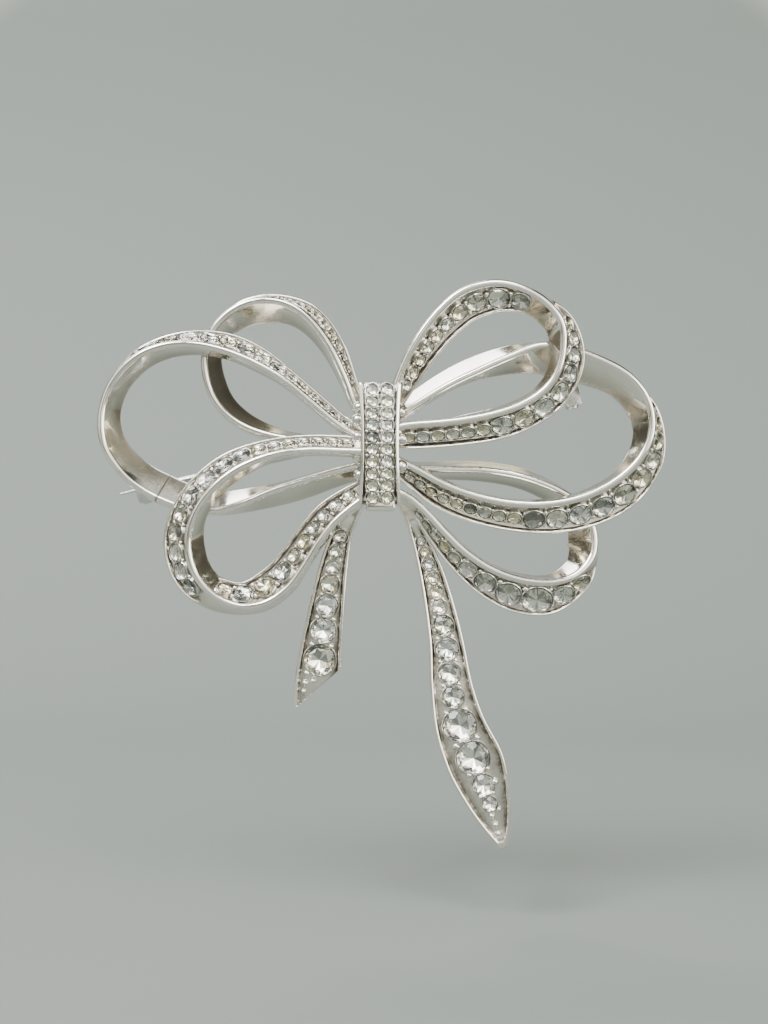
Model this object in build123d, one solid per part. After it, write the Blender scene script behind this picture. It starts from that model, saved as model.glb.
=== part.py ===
from build123d import *
import math
import os

# A ribbon bow brooch, worn upright: +X is the wearer's left as seen from the front, +Z is up and
# the front faces -Y. The origin is on the axis of the closed pin, straight behind the knot.
# "Lift" is how far a point stands in front of the pin's axis, so y = -lift.

# Driving sizes, in millimetres
bow_width = 75.0
bow_height = 75.0
band_depth = 3.0
layer_gap = 0.6
pin_gap = 3.3
rim_half_width = 0.4
rim_drop = 0.25

knot_half_width = 2.8
knot_top = 6.4
knot_bottom = -9.5
knot_crown = 1.7
knot_edge = 0.6
core_half_width = 2.2
core_inset = 0.5
core_overhang = 0.7
core_rise = 0.1
wrap_half_width = 1.0
wrap_thickness = 0.5
knot_stone = 1.5
knot_end_share = 0.6
knot_rows = 10
knot_columns = 2
column_pitch = 2.0

tail_thickness = 1.8
tail_rise = 3.0

stone_gap = 0.25
seat_clearance = 0.04
set_depth = 0.15
table_share = 0.56
crown_share = 0.30
girdle_share = 0.10
pavilion_share = 0.80
bore_reach = 0.8

stem_radius = 0.45
tip_length = 3.0
taper_lead = 0.8
point_radius = 0.12
knuckle_radius = 1.1
knuckle_width = 1.8
hinge_side_clearance = 0.1
ear_thickness = 0.7
rivet_radius = 0.5
rivet_clearance = 0.05
rivet_head_radius = 0.9
rivet_head_height = 0.35
plate_thickness = 0.9
plate_lift = 2.0
foot_size = 1.9

drum_length = 2.8
drum_wall = 0.75
rotor_wall = 0.7
rotor_clearance = 0.08
stem_clearance = 0.15
slot_clearance = 0.2
flange_thickness = 0.5
flange_gap = 0.05
flange_margin = 0.25
thumb_length = 1.5
thumb_width = 0.9

# The layout below is drawn for a bow of this size, and stretches with the two overall sizes.
drawn_width = 75.0
drawn_height = 75.0
stretch_x = bow_width / drawn_width
stretch_z = bow_height / drawn_height

# Front rims of the three layers of loops, as lifts
back_layer = pin_gap + band_depth
middle_layer = back_layer + layer_gap + band_depth
front_layer = middle_layer + layer_gap + band_depth

# The tails' fronts are counted from the back of the loops, so deeper bands leave them room.
tail_layer = pin_gap + tail_rise

# Where the pin is carried, as places on the drawing
hinge_x = 26.2
catch_x = -31.7
pin_rise = 6.1 / 27.6
hinge_foot = (26.6, 8.9)
catch_foot = (-31.7, -6.1)

# Each loop runs anticlockwise, seen from the front. A station is x and z of the front rim, its
# lift from the layer's own, and how far the back of the band stands outside and inside the rim.
upper_left_stations = [
    (-1.2, 2.0, 0.0, 1.0, 0.6),
    (-3.3, 3.8, 0.0, 1.2, 0.7),
    (-4.6, 7.2, 0.0, 1.4, 0.9),
    (-6.8, 11.9, 0.0, 1.9, 1.3),
    (-9.5, 15.5, -0.1, 2.0, 1.8),
    (-12.6, 17.6, -0.2, 1.3, 2.5),
    (-16.2, 18.1, -0.3, 0.9, 2.9),
    (-19.8, 16.9, -0.4, 0.8, 2.6),
    (-22.5, 14.2, -0.4, 0.7, 2.1),
    (-23.7, 10.6, -0.4, 0.7, 2.1),
    (-23.2, 6.6, -0.3, 0.7, 2.4),
    (-21.4, 3.4, -0.2, 0.7, 2.2),
    (-18.0, 0.9, -0.1, 0.7, 1.9),
    (-13.0, -0.5, 0.0, 0.7, 1.2),
    (-7.0, -1.0, 0.0, 0.8, 0.8),
    (-1.2, -1.4, 0.0, 0.8, 0.7),
]
left_stations = [
    (-1.2, -1.6, 0.0, 1.2, 0.6),
    (-5.2, 0.9, 0.0, 1.4, 0.7),
    (-9.3, 4.3, 0.0, 1.5, 0.7),
    (-12.6, 7.0, 0.0, 1.6, 0.8),
    (-16.4, 9.2, 0.0, 2.3, 0.9),
    (-20.5, 10.9, 0.0, 2.5, 0.9),
    (-24.6, 11.8, 0.0, 2.0, 1.2),
    (-28.8, 11.6, -0.1, 1.4, 1.6),
    (-32.6, 10.0, -0.3, 1.0, 1.9),
    (-35.6, 6.8, -0.5, 0.8, 2.0),
    (-37.0, 2.8, -0.4, 0.7, 2.2),
    (-36.7, -1.4, 0.0, 0.7, 2.7),
    (-34.8, -4.6, 0.0, 0.8, 3.0),
    (-32.4, -6.9, 0.0, 0.8, 3.2),
    (-29.6, -8.6, 0.0, 0.8, 3.4),
    (-26.0, -9.9, 0.0, 0.7, 3.2),
    (-21.8, -10.3, 0.0, 0.7, 2.8),
    (-18.2, -9.3, 0.0, 1.3, 2.0),
    (-14.6, -7.8, 0.0, 2.1, 1.1),
    (-10.6, -6.5, 0.0, 2.3, 0.8),
    (-6.2, -5.2, 0.0, 2.0, 0.7),
    (-1.2, -3.9, 0.0, 1.7, 0.6),
]
left_seam = 14
lower_left_stations = [
    (-1.2, -2.6, -0.1, 1.8, 0.6),
    (-4.4, -2.5, -0.1, 2.0, 0.7),
    (-9.6, -2.4, 0.0, 2.0, 0.7),
    (-14.6, -3.2, 0.0, 2.2, 0.9),
    (-19.0, -5.1, 0.0, 2.7, 1.2),
    (-22.4, -8.0, 0.0, 3.0, 1.2),
    (-24.5, -11.4, -0.1, 3.3, 1.5),
    (-25.1, -15.0, -0.1, 3.4, 2.0),
    (-24.1, -18.6, 0.0, 3.1, 2.1),
    (-21.7, -21.3, 0.0, 2.3, 2.3),
    (-18.4, -22.8, 0.0, 1.3, 3.1),
    (-15.0, -22.4, 0.0, 1.1, 3.8),
    (-12.0, -20.4, 0.0, 0.9, 3.9),
    (-9.9, -17.6, 0.0, 0.7, 3.6),
    (-7.9, -14.4, 0.0, 0.7, 3.3),
    (-5.4, -11.3, -0.1, 0.7, 3.0),
    (-1.2, -8.0, -0.1, 0.7, 2.2),
]
upper_right_stations = [
    (1.2, 0.4, -0.1, 2.4, 0.6),
    (4.0, 0.9, -0.1, 3.0, 0.7),
    (9.9, 1.4, 0.0, 3.1, 0.7),
    (15.6, 2.5, 0.0, 3.3, 0.9),
    (20.0, 4.3, 0.0, 3.2, 1.1),
    (22.8, 7.0, 0.0, 3.2, 1.2),
    (23.9, 10.6, 0.0, 3.1, 1.5),
    (23.7, 14.2, 0.1, 2.0, 2.0),
    (21.6, 17.0, 0.2, 1.1, 2.4),
    (18.4, 18.8, 0.2, 0.7, 2.9),
    (14.6, 19.4, 0.2, 0.7, 3.6),
    (10.6, 18.2, 0.1, 0.7, 3.8),
    (7.2, 15.2, 0.0, 0.7, 3.6),
    (4.5, 11.4, 0.0, 0.7, 3.2),
    (2.6, 7.4, -0.1, 0.7, 2.5),
    (1.5, 4.0, -0.1, 0.6, 1.6),
]
right_stations = [
    (1.2, -3.0, 0.0, 1.8, 0.6),
    (4.9, -4.8, 0.0, 2.4, 0.7),
    (8.4, -6.7, 0.0, 3.1, 0.7),
    (12.6, -8.3, 0.0, 3.4, 0.7),
    (17.4, -9.3, 0.0, 3.6, 0.7),
    (22.4, -9.4, 0.0, 3.9, 0.7),
    (27.2, -8.4, 0.0, 4.2, 0.8),
    (31.6, -6.2, 0.0, 4.2, 1.0),
    (34.8, -3.0, -0.1, 3.4, 1.6),
    (36.2, 0.8, -0.3, 1.9, 2.3),
    (35.4, 4.8, -0.3, 0.9, 3.0),
    (32.6, 8.0, 0.0, 0.7, 3.3),
    (28.6, 10.1, 0.0, 0.7, 3.8),
    (24.6, 11.4, 0.0, 0.7, 4.1),
    (21.2, 11.6, 0.0, 0.8, 3.8),
    (17.4, 10.2, 0.0, 1.7, 2.3),
    (13.4, 8.4, 0.0, 2.3, 1.1),
    (9.6, 6.6, 0.0, 2.2, 0.7),
    (5.8, 4.4, 0.0, 1.9, 0.7),
    (1.2, 1.4, 0.0, 1.5, 0.6),
]
right_seam = 13
lower_right_stations = [
    (1.2, -7.4, 2.5, 0.8, 0.5),
    (3.6, -8.3, 2.5, 1.1, 0.5),
    (5.9, -10.2, 2.5, 1.6, 0.5),
    (8.5, -13.0, 2.5, 2.2, 0.7),
    (11.4, -15.8, 2.5, 2.8, 0.7),
    (14.9, -18.1, 2.4, 3.7, 0.7),
    (18.8, -19.5, 2.2, 4.5, 0.8),
    (22.8, -19.9, 1.8, 4.4, 1.0),
    (26.3, -18.9, 1.0, 2.8, 2.0),
    (28.6, -16.4, 0.3, 1.2, 3.3),
    (28.8, -13.0, -0.1, 0.7, 3.2),
    (27.0, -9.6, -0.1, 0.7, 2.6),
    (23.4, -7.2, 0.0, 0.9, 2.0),
    (18.8, -5.6, 0.0, 1.3, 1.6),
    (13.6, -4.8, 0.0, 1.3, 1.5),
    (8.0, -4.7, 0.0, 1.2, 1.3),
    (1.2, -4.6, 0.0, 0.9, 0.8),
]
lower_right_seam = 11

# A tail's station is the same, with the middle of its flat front in place of the rim.
left_tail_stations = [
    (-1.4, -7.6, 1.7, 1.0, 0.9),
    (-3.3, -9.8, 1.7, 1.2, 1.1),
    (-5.1, -13.4, 1.7, 1.5, 1.5),
    (-6.3, -18.2, 1.9, 2.0, 2.0),
    (-7.1, -23.2, 2.1, 2.4, 2.4),
    (-7.8, -28.2, 2.2, 2.8, 2.8),
    (-8.3, -33.2, 2.2, 3.1, 3.1),
    (-8.5, -38.6, 2.0, 3.1, 3.1),
]
left_tail_cut = ((-5.0, -31.2), (-11.6, -36.9))
right_tail_stations = [
    (1.4, -7.4, -1.1, 0.8, 0.8),
    (3.3, -9.6, -1.1, 0.9, 0.9),
    (4.9, -12.8, -1.1, 1.1, 1.1),
    (6.5, -17.2, -0.9, 1.6, 1.6),
    (7.8, -22.2, -0.4, 2.0, 2.0),
    (8.9, -28.0, 0.4, 2.4, 2.4),
    (9.6, -34.0, 1.0, 2.9, 2.9),
    (10.8, -39.4, 1.4, 3.5, 3.5),
    (12.9, -44.4, 1.5, 3.9, 3.9),
    (14.6, -49.2, 1.4, 3.0, 3.0),
    (15.8, -52.8, 1.2, 1.8, 1.8),
    (16.5, -55.6, 1.0, 0.5, 0.5),
]

# Rows of stones: the face they sit on, and the diameters that they pass through at stations
# along it. A row starts at its first station and stops at its last.
OUTER = 1
INNER = -1
FLAT = 0
upper_left_rows = [(OUTER, [(2.0, 1.3), (6.6, 1.4)])]
left_rows = [(OUTER, [(0.95, 1.5), (2.8, 1.7), (3.3, 2.2), (6.0, 2.3), (8.0, 2.2)])]
lower_left_rows = [
    (OUTER, [(1.0, 1.6), (3.0, 1.7), (3.6, 2.3), (4.4, 2.8), (5.8, 2.4), (8.4, 2.2)]),
    (INNER, [(9.2, 1.8), (9.8, 2.6), (12.2, 2.8), (13.0, 2.0), (15.6, 1.8)]),
]
upper_right_rows = [
    (OUTER, [(0.9, 1.6), (2.6, 1.8), (3.0, 2.8), (5.0, 2.6), (6.0, 2.0), (7.3, 1.6)]),
    (INNER, [(8.8, 2.4), (9.8, 2.9), (11.0, 2.3), (12.0, 1.7), (14.6, 1.6)]),
]
right_rows = [(OUTER, [(0.9, 1.5), (4.2, 1.8), (4.6, 2.8), (7.0, 3.1), (8.2, 2.3), (9.6, 1.8)])]
lower_right_profile = [
    (2.0, 1.4),
    (4.0, 1.8),
    (4.7, 2.9),
    (5.6, 3.1),
    (6.1, 4.1),
    (6.6, 4.1),
    (7.2, 3.0),
    (8.3, 2.4),
]
lower_right_rows = [(OUTER, lower_right_profile)]
left_tail_rows = [(FLAT, [(2.1, 1.7), (3.2, 1.9), (3.6, 2.9), (4.5, 2.9), (4.9, 4.1), (5.5, 4.1)])]
right_tail_profile = [
    (2.4, 1.2),
    (3.4, 1.7),
    (4.4, 1.9),
    (4.7, 3.0),
    (6.3, 2.9),
    (6.7, 4.4),
    (8.2, 4.4),
    (8.7, 2.2),
    (9.6, 1.6),
]
right_tail_rows = [(FLAT, right_tail_profile)]


def station_at(stations, t):
    """Numbers of the smooth line through the stations at t, counted in stations."""
    last = len(stations) - 1
    k = min(int(t), last - 1)
    f = t - k
    rows = [stations[min(max(n, 0), last)] for n in (k - 1, k, k + 1, k + 2)]
    return [
        b
        + f * (c - a) / 2
        + f**2 * (2 * a - 5 * b + 4 * c - d) / 2
        + f**3 * (3 * b - a - 3 * c + d) / 2
        for a, b, c, d in zip(*rows)
    ]


def frame_at(stations, layer, t):
    """The rim's point, the direction out of the loop and the two back widths at t."""
    nudge = 0.02
    last = len(stations) - 1
    x, z, lift, outer, inner = station_at(stations, t)
    ahead = station_at(stations, min(t + nudge, last))
    behind = station_at(stations, max(t - nudge, 0))
    run_x = (ahead[0] - behind[0]) * stretch_x
    run_z = (ahead[1] - behind[1]) * stretch_z
    along = Vector(run_x, 0, run_z).normalized()
    outward = Vector(along.Z, 0, -along.X)
    rim = Vector(x * stretch_x, -(layer + lift), z * stretch_z)
    return rim, along, outward, outer, inner


def loft_through(stations, layer, profile, first, last):
    """A solid through two sections for each station from first to last, straight between sections."""
    wires = []
    for step in range(2 * first, 2 * last + 1):
        rim, _, outward, outer, inner = frame_at(stations, layer, step / 2)
        section = profile(outer, inner)
        corners = [rim + outward * across + Vector(0, depth, 0) for across, depth in section]
        wires.append(Wire.make_polygon(corners, close=True))
    return Solid.make_loft(wires, ruled=True)


def wedge(outer, inner):
    """Section of a loop's band: a narrow front rim and two facets that fall back to a wide back."""
    flat = rim_half_width / 2
    return [
        (-flat, 0),
        (flat, 0),
        (rim_half_width, rim_drop),
        (outer, band_depth),
        (-inner, band_depth),
        (-rim_half_width, rim_drop),
    ]


def strap(outer, inner):
    """Section of a tail: a flat bar."""
    return [(outer, 0), (outer, tail_thickness), (-inner, tail_thickness), (-inner, 0)]


def facet_frame(stations, layer, side, t):
    """A plane on the middle of a facet, with its Z out of the metal."""
    rim, along, outward, outer, inner = frame_at(stations, layer, t)
    if side == FLAT:
        middle = rim + outward * ((outer - inner) / 2)
        return Plane(middle, x_dir=along, z_dir=(0, -1, 0))
    reach = outer if side == OUTER else inner
    start = rim + outward * (side * rim_half_width) + Vector(0, rim_drop, 0)
    end = rim + outward * (side * reach) + Vector(0, band_depth, 0)
    down = end - start
    out = Vector(0, -1, 0) - down.normalized() * Vector(0, -1, 0).dot(down.normalized())
    return Plane((start + end) / 2, x_dir=along, z_dir=out)


def chaton(diameter):
    """A round stone with a flat table, its girdle's lower edge at the origin."""
    radius = diameter / 2
    outline = Polyline(
        (0, -pavilion_share * radius),
        (radius, 0),
        (radius, girdle_share * radius),
        (table_share * radius, (girdle_share + crown_share) * radius),
        (0, (girdle_share + crown_share) * radius),
        close=True,
    )
    return revolve(Plane.XZ * make_face(outline), Axis.Z).solid()


def seat(diameter):
    """The tool that drills a stone's seat: a cone that the stone rests on and a bore round it."""
    radius = diameter / 2
    bore = radius + seat_clearance
    outline = Polyline(
        (0, -pavilion_share * radius),
        (bore, pavilion_share * seat_clearance),
        (bore, bore_reach),
        (0, bore_reach),
        close=True,
    )
    return revolve(Plane.XZ * make_face(outline), Axis.Z).solid()


def diameter_at(profile, t):
    """Diameter of a stone at t, in a straight line between the profile's stations."""
    for (t_start, start), (t_end, end) in zip(profile, profile[1:]):
        if t <= t_end:
            return start + (end - start) * (t - t_start) / (t_end - t_start)
    return profile[-1][1]


def walk_row(stations, layer, row):
    """Places and diameters of one row of stones, a small gap apart along the facet."""
    side, profile = row
    step = 0.01
    t = profile[0][0]
    diameter = profile[0][1]
    here = facet_frame(stations, layer, side, t)
    places = [(here, diameter)]
    while t < profile[-1][0]:
        t += step
        there = facet_frame(stations, layer, side, t)
        next_diameter = diameter_at(profile, t)
        if (there.origin - here.origin).length >= (diameter + next_diameter) / 2 + stone_gap:
            here = there
            diameter = next_diameter
            places.append((here, diameter))
    return places


def set_stones(metal, places):
    """The metal with its seats drilled, and the stones that sit in them."""
    sunk = Pos(0, 0, -set_depth)
    tools = [plane.location * sunk * seat(diameter) for plane, diameter in places]
    stones = [plane.location * sunk * chaton(diameter) for plane, diameter in places]
    return metal - tools, stones


def place_rows(stations, layer, rows):
    """Places and diameters of all the rows on one band."""
    return [place for row in rows for place in walk_row(stations, layer, row)]


def lift_box(x_range, z_range, lift_range):
    """A block between two values of x, z and lift."""
    x_size = x_range[1] - x_range[0]
    z_size = z_range[1] - z_range[0]
    lift_size = lift_range[1] - lift_range[0]
    centre = Pos(sum(x_range) / 2, -sum(lift_range) / 2, sum(z_range) / 2)
    return centre * Box(x_size, lift_size, z_size)


# Knot

core_top = (knot_top - core_inset) * stretch_z
core_bottom = (knot_bottom + core_inset) * stretch_z
core_back = pin_gap - core_overhang
core_front = front_layer + core_rise


def make_knot_core():
    """The hidden block that every arm of the bow is soldered to."""
    span = (-core_half_width, core_half_width)
    return lift_box(span, (core_bottom, core_top), (core_back, core_front))


def make_knot_shell():
    """The strap across the front, domed both ways."""
    length = (knot_top - knot_bottom) * stretch_z
    middle = (knot_top + knot_bottom) / 2 * stretch_z
    across = make_face(
        Polyline(
            (-knot_half_width, -(core_front + knot_edge)),
            (-knot_half_width, -core_front),
            (knot_half_width, -core_front),
            (knot_half_width, -(core_front + knot_edge)),
        )
        + ThreePointArc(
            (-knot_half_width, -(core_front + knot_edge)),
            (0, -(core_front + knot_crown)),
            (knot_half_width, -(core_front + knot_edge)),
        )
    )
    along = make_face(
        Polyline(
            (-(core_front + knot_edge), middle - length / 2),
            (-core_front, middle - length / 2),
            (-core_front, middle + length / 2),
            (-(core_front + knot_edge), middle + length / 2),
        )
        + ThreePointArc(
            (-(core_front + knot_edge), middle - length / 2),
            (-(core_front + knot_crown), middle),
            (-(core_front + knot_edge), middle + length / 2),
        )
    )
    bar = Pos(0, 0, middle - length / 2) * extrude(across, length, dir=(0, 0, 1))
    slab = extrude(Plane.YZ * along, 2 * knot_half_width, dir=(1, 0, 0))
    slab = Pos(-knot_half_width, 0, 0) * slab
    return bar & slab


def knot_stone_places():
    """Rows of stones down the knot, evenly spaced along its dome."""
    length = (knot_top - knot_bottom) * stretch_z
    middle = (knot_top + knot_bottom) / 2 * stretch_z
    rise = knot_crown - knot_edge
    dome = ((length / 2) ** 2 + rise**2) / (2 * rise)
    side_dome = (knot_half_width**2 + rise**2) / (2 * rise)
    half_angle = math.asin((length / 2 - knot_stone * knot_end_share) / dome)
    places = []
    for row in range(knot_rows):
        angle = half_angle * (1 - 2 * row / (knot_rows - 1))
        for column in range(knot_columns):
            x = (column - (knot_columns - 1) / 2) * column_pitch
            lean = math.asin(x / side_dome)
            drop = dome * (1 - math.cos(angle)) + side_dome * (1 - math.cos(lean))
            point = (x, -(core_front + knot_crown - drop), middle + dome * math.sin(angle))
            out = (math.sin(lean), -math.cos(angle), math.sin(angle))
            places.append((Plane(point, x_dir=(0, 0, 1), z_dir=out), knot_stone))
    return places


def make_back_strap():
    """The plain strap that wraps the core's top, back and bottom."""
    span = (-wrap_half_width, wrap_half_width)
    top = core_top + wrap_thickness
    bottom = core_bottom - wrap_thickness
    outside = lift_box(span, (bottom, top), (core_back - wrap_thickness, core_front))
    return outside - make_knot_core()


# Pin, hinge and catch. The pin's own frame: X along the stem to its tip, Y to the back.

pin_slope = pin_rise * stretch_z / stretch_x
pin_along = Vector(-1, 0, -pin_slope).normalized()


def pin_plane(x):
    """The pin's frame at the place on its axis with the drawing's x."""
    centre = Vector(x * stretch_x, 0, x * stretch_x * pin_slope)
    return Plane(centre, x_dir=pin_along, z_dir=pin_along.cross(Vector(0, 1, 0)))


ear_inside = knuckle_width / 2 + hinge_side_clearance
ear_outside = ear_inside + ear_thickness
# The ears reach no further along the stem than the knuckle does.
ear_radius = knuckle_radius
hinge_plane = pin_plane(hinge_x)
catch_plane = pin_plane(catch_x)
rotor_bore = stem_radius + stem_clearance
rotor_radius = rotor_bore + rotor_wall
drum_bore = rotor_radius + rotor_clearance
drum_radius = drum_bore + drum_wall
slot_half_width = stem_radius + slot_clearance


def make_pin_stem():
    """The stem with its knuckle, as one piece: straight up to the catch and tapering through it."""
    to_catch = (catch_plane.origin - hinge_plane.origin).length
    end = to_catch + drum_length / 2 + tip_length
    straight = to_catch - drum_length / 2 - flange_gap - flange_thickness - taper_lead
    taper = end - straight
    wire = Pos(straight / 2, 0, 0) * Rot(0, 90, 0) * Cylinder(stem_radius, straight)
    point = Pos(straight + taper / 2, 0, 0) * Rot(0, 90, 0) * Cone(stem_radius, point_radius, taper)
    knuckle = Cylinder(knuckle_radius, knuckle_width)
    hole = Cylinder(rivet_radius + rivet_clearance, knuckle_width)
    return hinge_plane.location * (wire + point + knuckle - hole)


def make_hinge_bracket():
    """A plate with two ears, on a foot soldered to the back of the right loop."""
    foot_x, foot_z = hinge_foot
    reach = (foot_z - pin_rise * foot_x) * stretch_z + foot_size / 2
    plate_middle = Pos(0, -(plate_lift + plate_thickness / 2), (ear_outside - reach) / 2)
    plate = plate_middle * Box(2 * ear_radius, plate_thickness, reach + ear_outside)
    ears = []
    for side in (-1, 1):
        middle = Pos(0, 0, side * (ear_inside + ear_thickness / 2))
        lug = middle * Cylinder(ear_radius, ear_thickness)
        neck = middle * Pos(0, -plate_lift / 2, 0) * Box(2 * ear_radius, plate_lift, ear_thickness)
        ears.append(lug + neck)
    hole = Cylinder(rivet_radius, 2 * ear_outside)
    bracket = hinge_plane.location * (plate + ears - hole)
    x = foot_x * stretch_x
    z = foot_z * stretch_z
    foot = lift_box(
        (x - foot_size / 2, x + foot_size / 2),
        (z - foot_size / 2, z + foot_size / 2),
        (plate_lift + plate_thickness / 2, middle_layer - band_depth),
    )
    return bracket + foot


def make_hinge_rivet():
    """The rivet through both ears and the knuckle, headed at both ends."""
    shank = Cylinder(rivet_radius, 2 * ear_outside)
    head = Cylinder(rivet_head_radius, rivet_head_height)
    head_middle = ear_outside + rivet_head_height / 2
    heads = [Pos(0, 0, side * head_middle) * head for side in (-1, 1)]
    return hinge_plane.location * (shank + heads)


def make_slot(radius, length):
    """The way out of a catch, to the back."""
    return Pos(0, radius, 0) * Box(length, 2 * radius, 2 * slot_half_width)


def make_catch_body():
    """The slotted drum on its post, soldered to the back of the left loop."""
    lying = Rot(0, 90, 0)
    drum = lying * Cylinder(drum_radius, drum_length)
    bore = lying * Cylinder(drum_bore, drum_length)
    x = catch_foot[0] * stretch_x
    z = catch_foot[1] * stretch_z
    post = lift_box(
        (x - foot_size / 2, x + foot_size / 2),
        (z - foot_size / 2, z + foot_size / 2),
        (0, middle_layer - band_depth),
    )
    body = catch_plane.location * drum + post
    return body - catch_plane.location * (bore + make_slot(drum_radius, drum_length))


def make_catch_rotor():
    """The slotted sleeve that turns inside the drum, with a flange and a thumb piece."""
    lying = Rot(0, 90, 0)
    flange_radius = drum_radius - flange_margin
    sleeve_length = drum_length + 2 * flange_gap + 2 * flange_thickness
    sleeve = lying * Cylinder(rotor_radius, sleeve_length)
    flanges = []
    for side in (-1, 1):
        x = side * (drum_length / 2 + flange_gap + flange_thickness / 2)
        flanges.append(Pos(x, 0, 0) * lying * Cylinder(flange_radius, flange_thickness))
    thumb_x = drum_length / 2 + flange_gap + flange_thickness / 2
    thumb_z = -(flange_radius + thumb_length / 2 - flange_margin)
    thumb = Pos(thumb_x, 0, thumb_z) * Box(flange_thickness, thumb_width, thumb_length)
    bore = lying * Cylinder(rotor_bore, sleeve_length)
    rotor = sleeve + flanges + thumb - bore - make_slot(flange_radius, sleeve_length)
    return catch_plane.location * rotor


# Assembly

core = make_knot_core()
nodes = {"knot_core": core, "knot_back_strap": make_back_strap()}


def add_loop(name, stations, layer, rows, seam=None):
    """One loop of the bow, in one piece or in two that butt at the seam, with its stones."""
    last = len(stations) - 1
    places = place_rows(stations, layer, rows)
    band = loft_through(stations, layer, wedge, 0, seam or last) - core
    nodes["loop_" + name], nodes["stones_" + name] = set_stones(band, places)
    if seam:
        nodes["loop_" + name + "_return"] = loft_through(stations, layer, wedge, seam, last) - core


def add_tail(name, stations, rows, cut=None):
    """One tail of the bow, with a slanting end where it has a cut, and its stones."""
    bar = loft_through(stations, tail_layer, strap, 0, len(stations) - 1) - core
    if cut:
        start = Vector(cut[0][0] * stretch_x, 0, cut[0][1] * stretch_z)
        end = Vector(cut[1][0] * stretch_x, 0, cut[1][1] * stretch_z)
        edge = Plane(start, x_dir=end - start, z_dir=(0, -1, 0))
        size = 2 * (bow_width + bow_height)
        bar -= edge.location * Pos(0, size / 2, 0) * Box(size, size, size)
    places = place_rows(stations, tail_layer, rows)
    nodes["tail_" + name], nodes["stones_tail_" + name] = set_stones(bar, places)


add_loop("upper_left", upper_left_stations, back_layer, upper_left_rows)
add_loop("left", left_stations, middle_layer, left_rows, left_seam)
add_loop("lower_left", lower_left_stations, front_layer, lower_left_rows)
add_loop("upper_right", upper_right_stations, front_layer, upper_right_rows)
add_loop("right", right_stations, middle_layer, right_rows, right_seam)
add_loop("lower_right", lower_right_stations, back_layer, lower_right_rows, lower_right_seam)
add_tail("left", left_tail_stations, left_tail_rows, left_tail_cut)
add_tail("right", right_tail_stations, right_tail_rows)
nodes["knot_shell"], nodes["stones_knot"] = set_stones(make_knot_shell(), knot_stone_places())
nodes["pin_stem"] = make_pin_stem()
nodes["hinge_bracket"] = make_hinge_bracket()
nodes["hinge_rivet"] = make_hinge_rivet()
nodes["catch_body"] = make_catch_body()
nodes["catch_rotor"] = make_catch_rotor()

os.makedirs("parts", exist_ok=True)
for name, shape in nodes.items():
    solids = shape if isinstance(shape, list) else shape.solids()
    export_step(Compound(solids), "parts/" + name + ".step")
    print(name, len(solids), round(sum(solid.volume for solid in solids), 2))
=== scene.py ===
"""A ribbon bow brooch: looped bands and tails set with stones, gathered behind a domed knot."""

import logging
import math
import random
from dataclasses import dataclass, field
from enum import Enum

import bmesh
import bpy
from mathutils import Matrix, Vector


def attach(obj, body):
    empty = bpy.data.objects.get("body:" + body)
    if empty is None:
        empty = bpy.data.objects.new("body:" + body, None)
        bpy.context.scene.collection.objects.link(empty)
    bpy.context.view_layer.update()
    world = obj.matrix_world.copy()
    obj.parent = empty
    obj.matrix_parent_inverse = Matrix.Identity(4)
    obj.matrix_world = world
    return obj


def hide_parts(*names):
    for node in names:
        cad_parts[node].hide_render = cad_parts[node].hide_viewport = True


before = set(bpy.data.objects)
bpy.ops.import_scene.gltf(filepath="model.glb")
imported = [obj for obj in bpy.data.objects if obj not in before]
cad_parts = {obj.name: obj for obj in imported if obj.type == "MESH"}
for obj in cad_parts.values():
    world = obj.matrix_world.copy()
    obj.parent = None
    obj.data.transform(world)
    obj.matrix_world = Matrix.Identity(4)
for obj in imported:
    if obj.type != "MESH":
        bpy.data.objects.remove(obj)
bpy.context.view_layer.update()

log = logging.getLogger("brooch")

MM = 0.001
SHARP_ANGLE = math.radians(40)
FACET_ANGLE = math.radians(0.8)

# Shared sizes of the metalwork, in millimetres, as in the part's design.
BAND_DEPTH = 3.0
LAYER_GAP = 0.6
PIN_GAP = 3.3
BACK_LAYER = PIN_GAP + BAND_DEPTH
MIDDLE_LAYER = BACK_LAYER + LAYER_GAP + BAND_DEPTH
FRONT_LAYER = MIDDLE_LAYER + LAYER_GAP + BAND_DEPTH
TAIL_THICKNESS = 1.8
CHANNEL_SHARE = 0.16
CHANNEL_SHALLOW = 0.38
CHANNEL_DEEP = 0.64
METAL_BEHIND = 1.25  # metal between a stone's seat and the back of its band

# The Mix node's colour sockets, which share their names with its other kinds
MIX_FACTOR, MIX_FIRST, MIX_SECOND, MIX_RESULT = 0, 6, 7, 2

Station = tuple[float, float, float, float, float]
Corner = tuple[float, float, float, float]
Colour = tuple[float, float, float, float]
Element = bmesh.types.BMVert | bmesh.types.BMEdge | bmesh.types.BMFace


class Body(str, Enum):
    """The rigid bodies that the pieces ride on."""

    BOW = "bow"
    PIN = "pin"
    ROTOR = "rotor"


class Slot(str, Enum):
    """The record's material slots."""

    RHODIUM = "rhodium"
    KNOT = "knot_metal"
    FITTINGS = "fittings"
    WIRE = "pin_wire"
    STONE = "rhinestone"


class Side(Enum):
    """The facet of a band: outside the loop or inside it."""

    OUTER = 1
    INNER = -1


# ---------------------------------------------------------------- finishes


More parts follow.
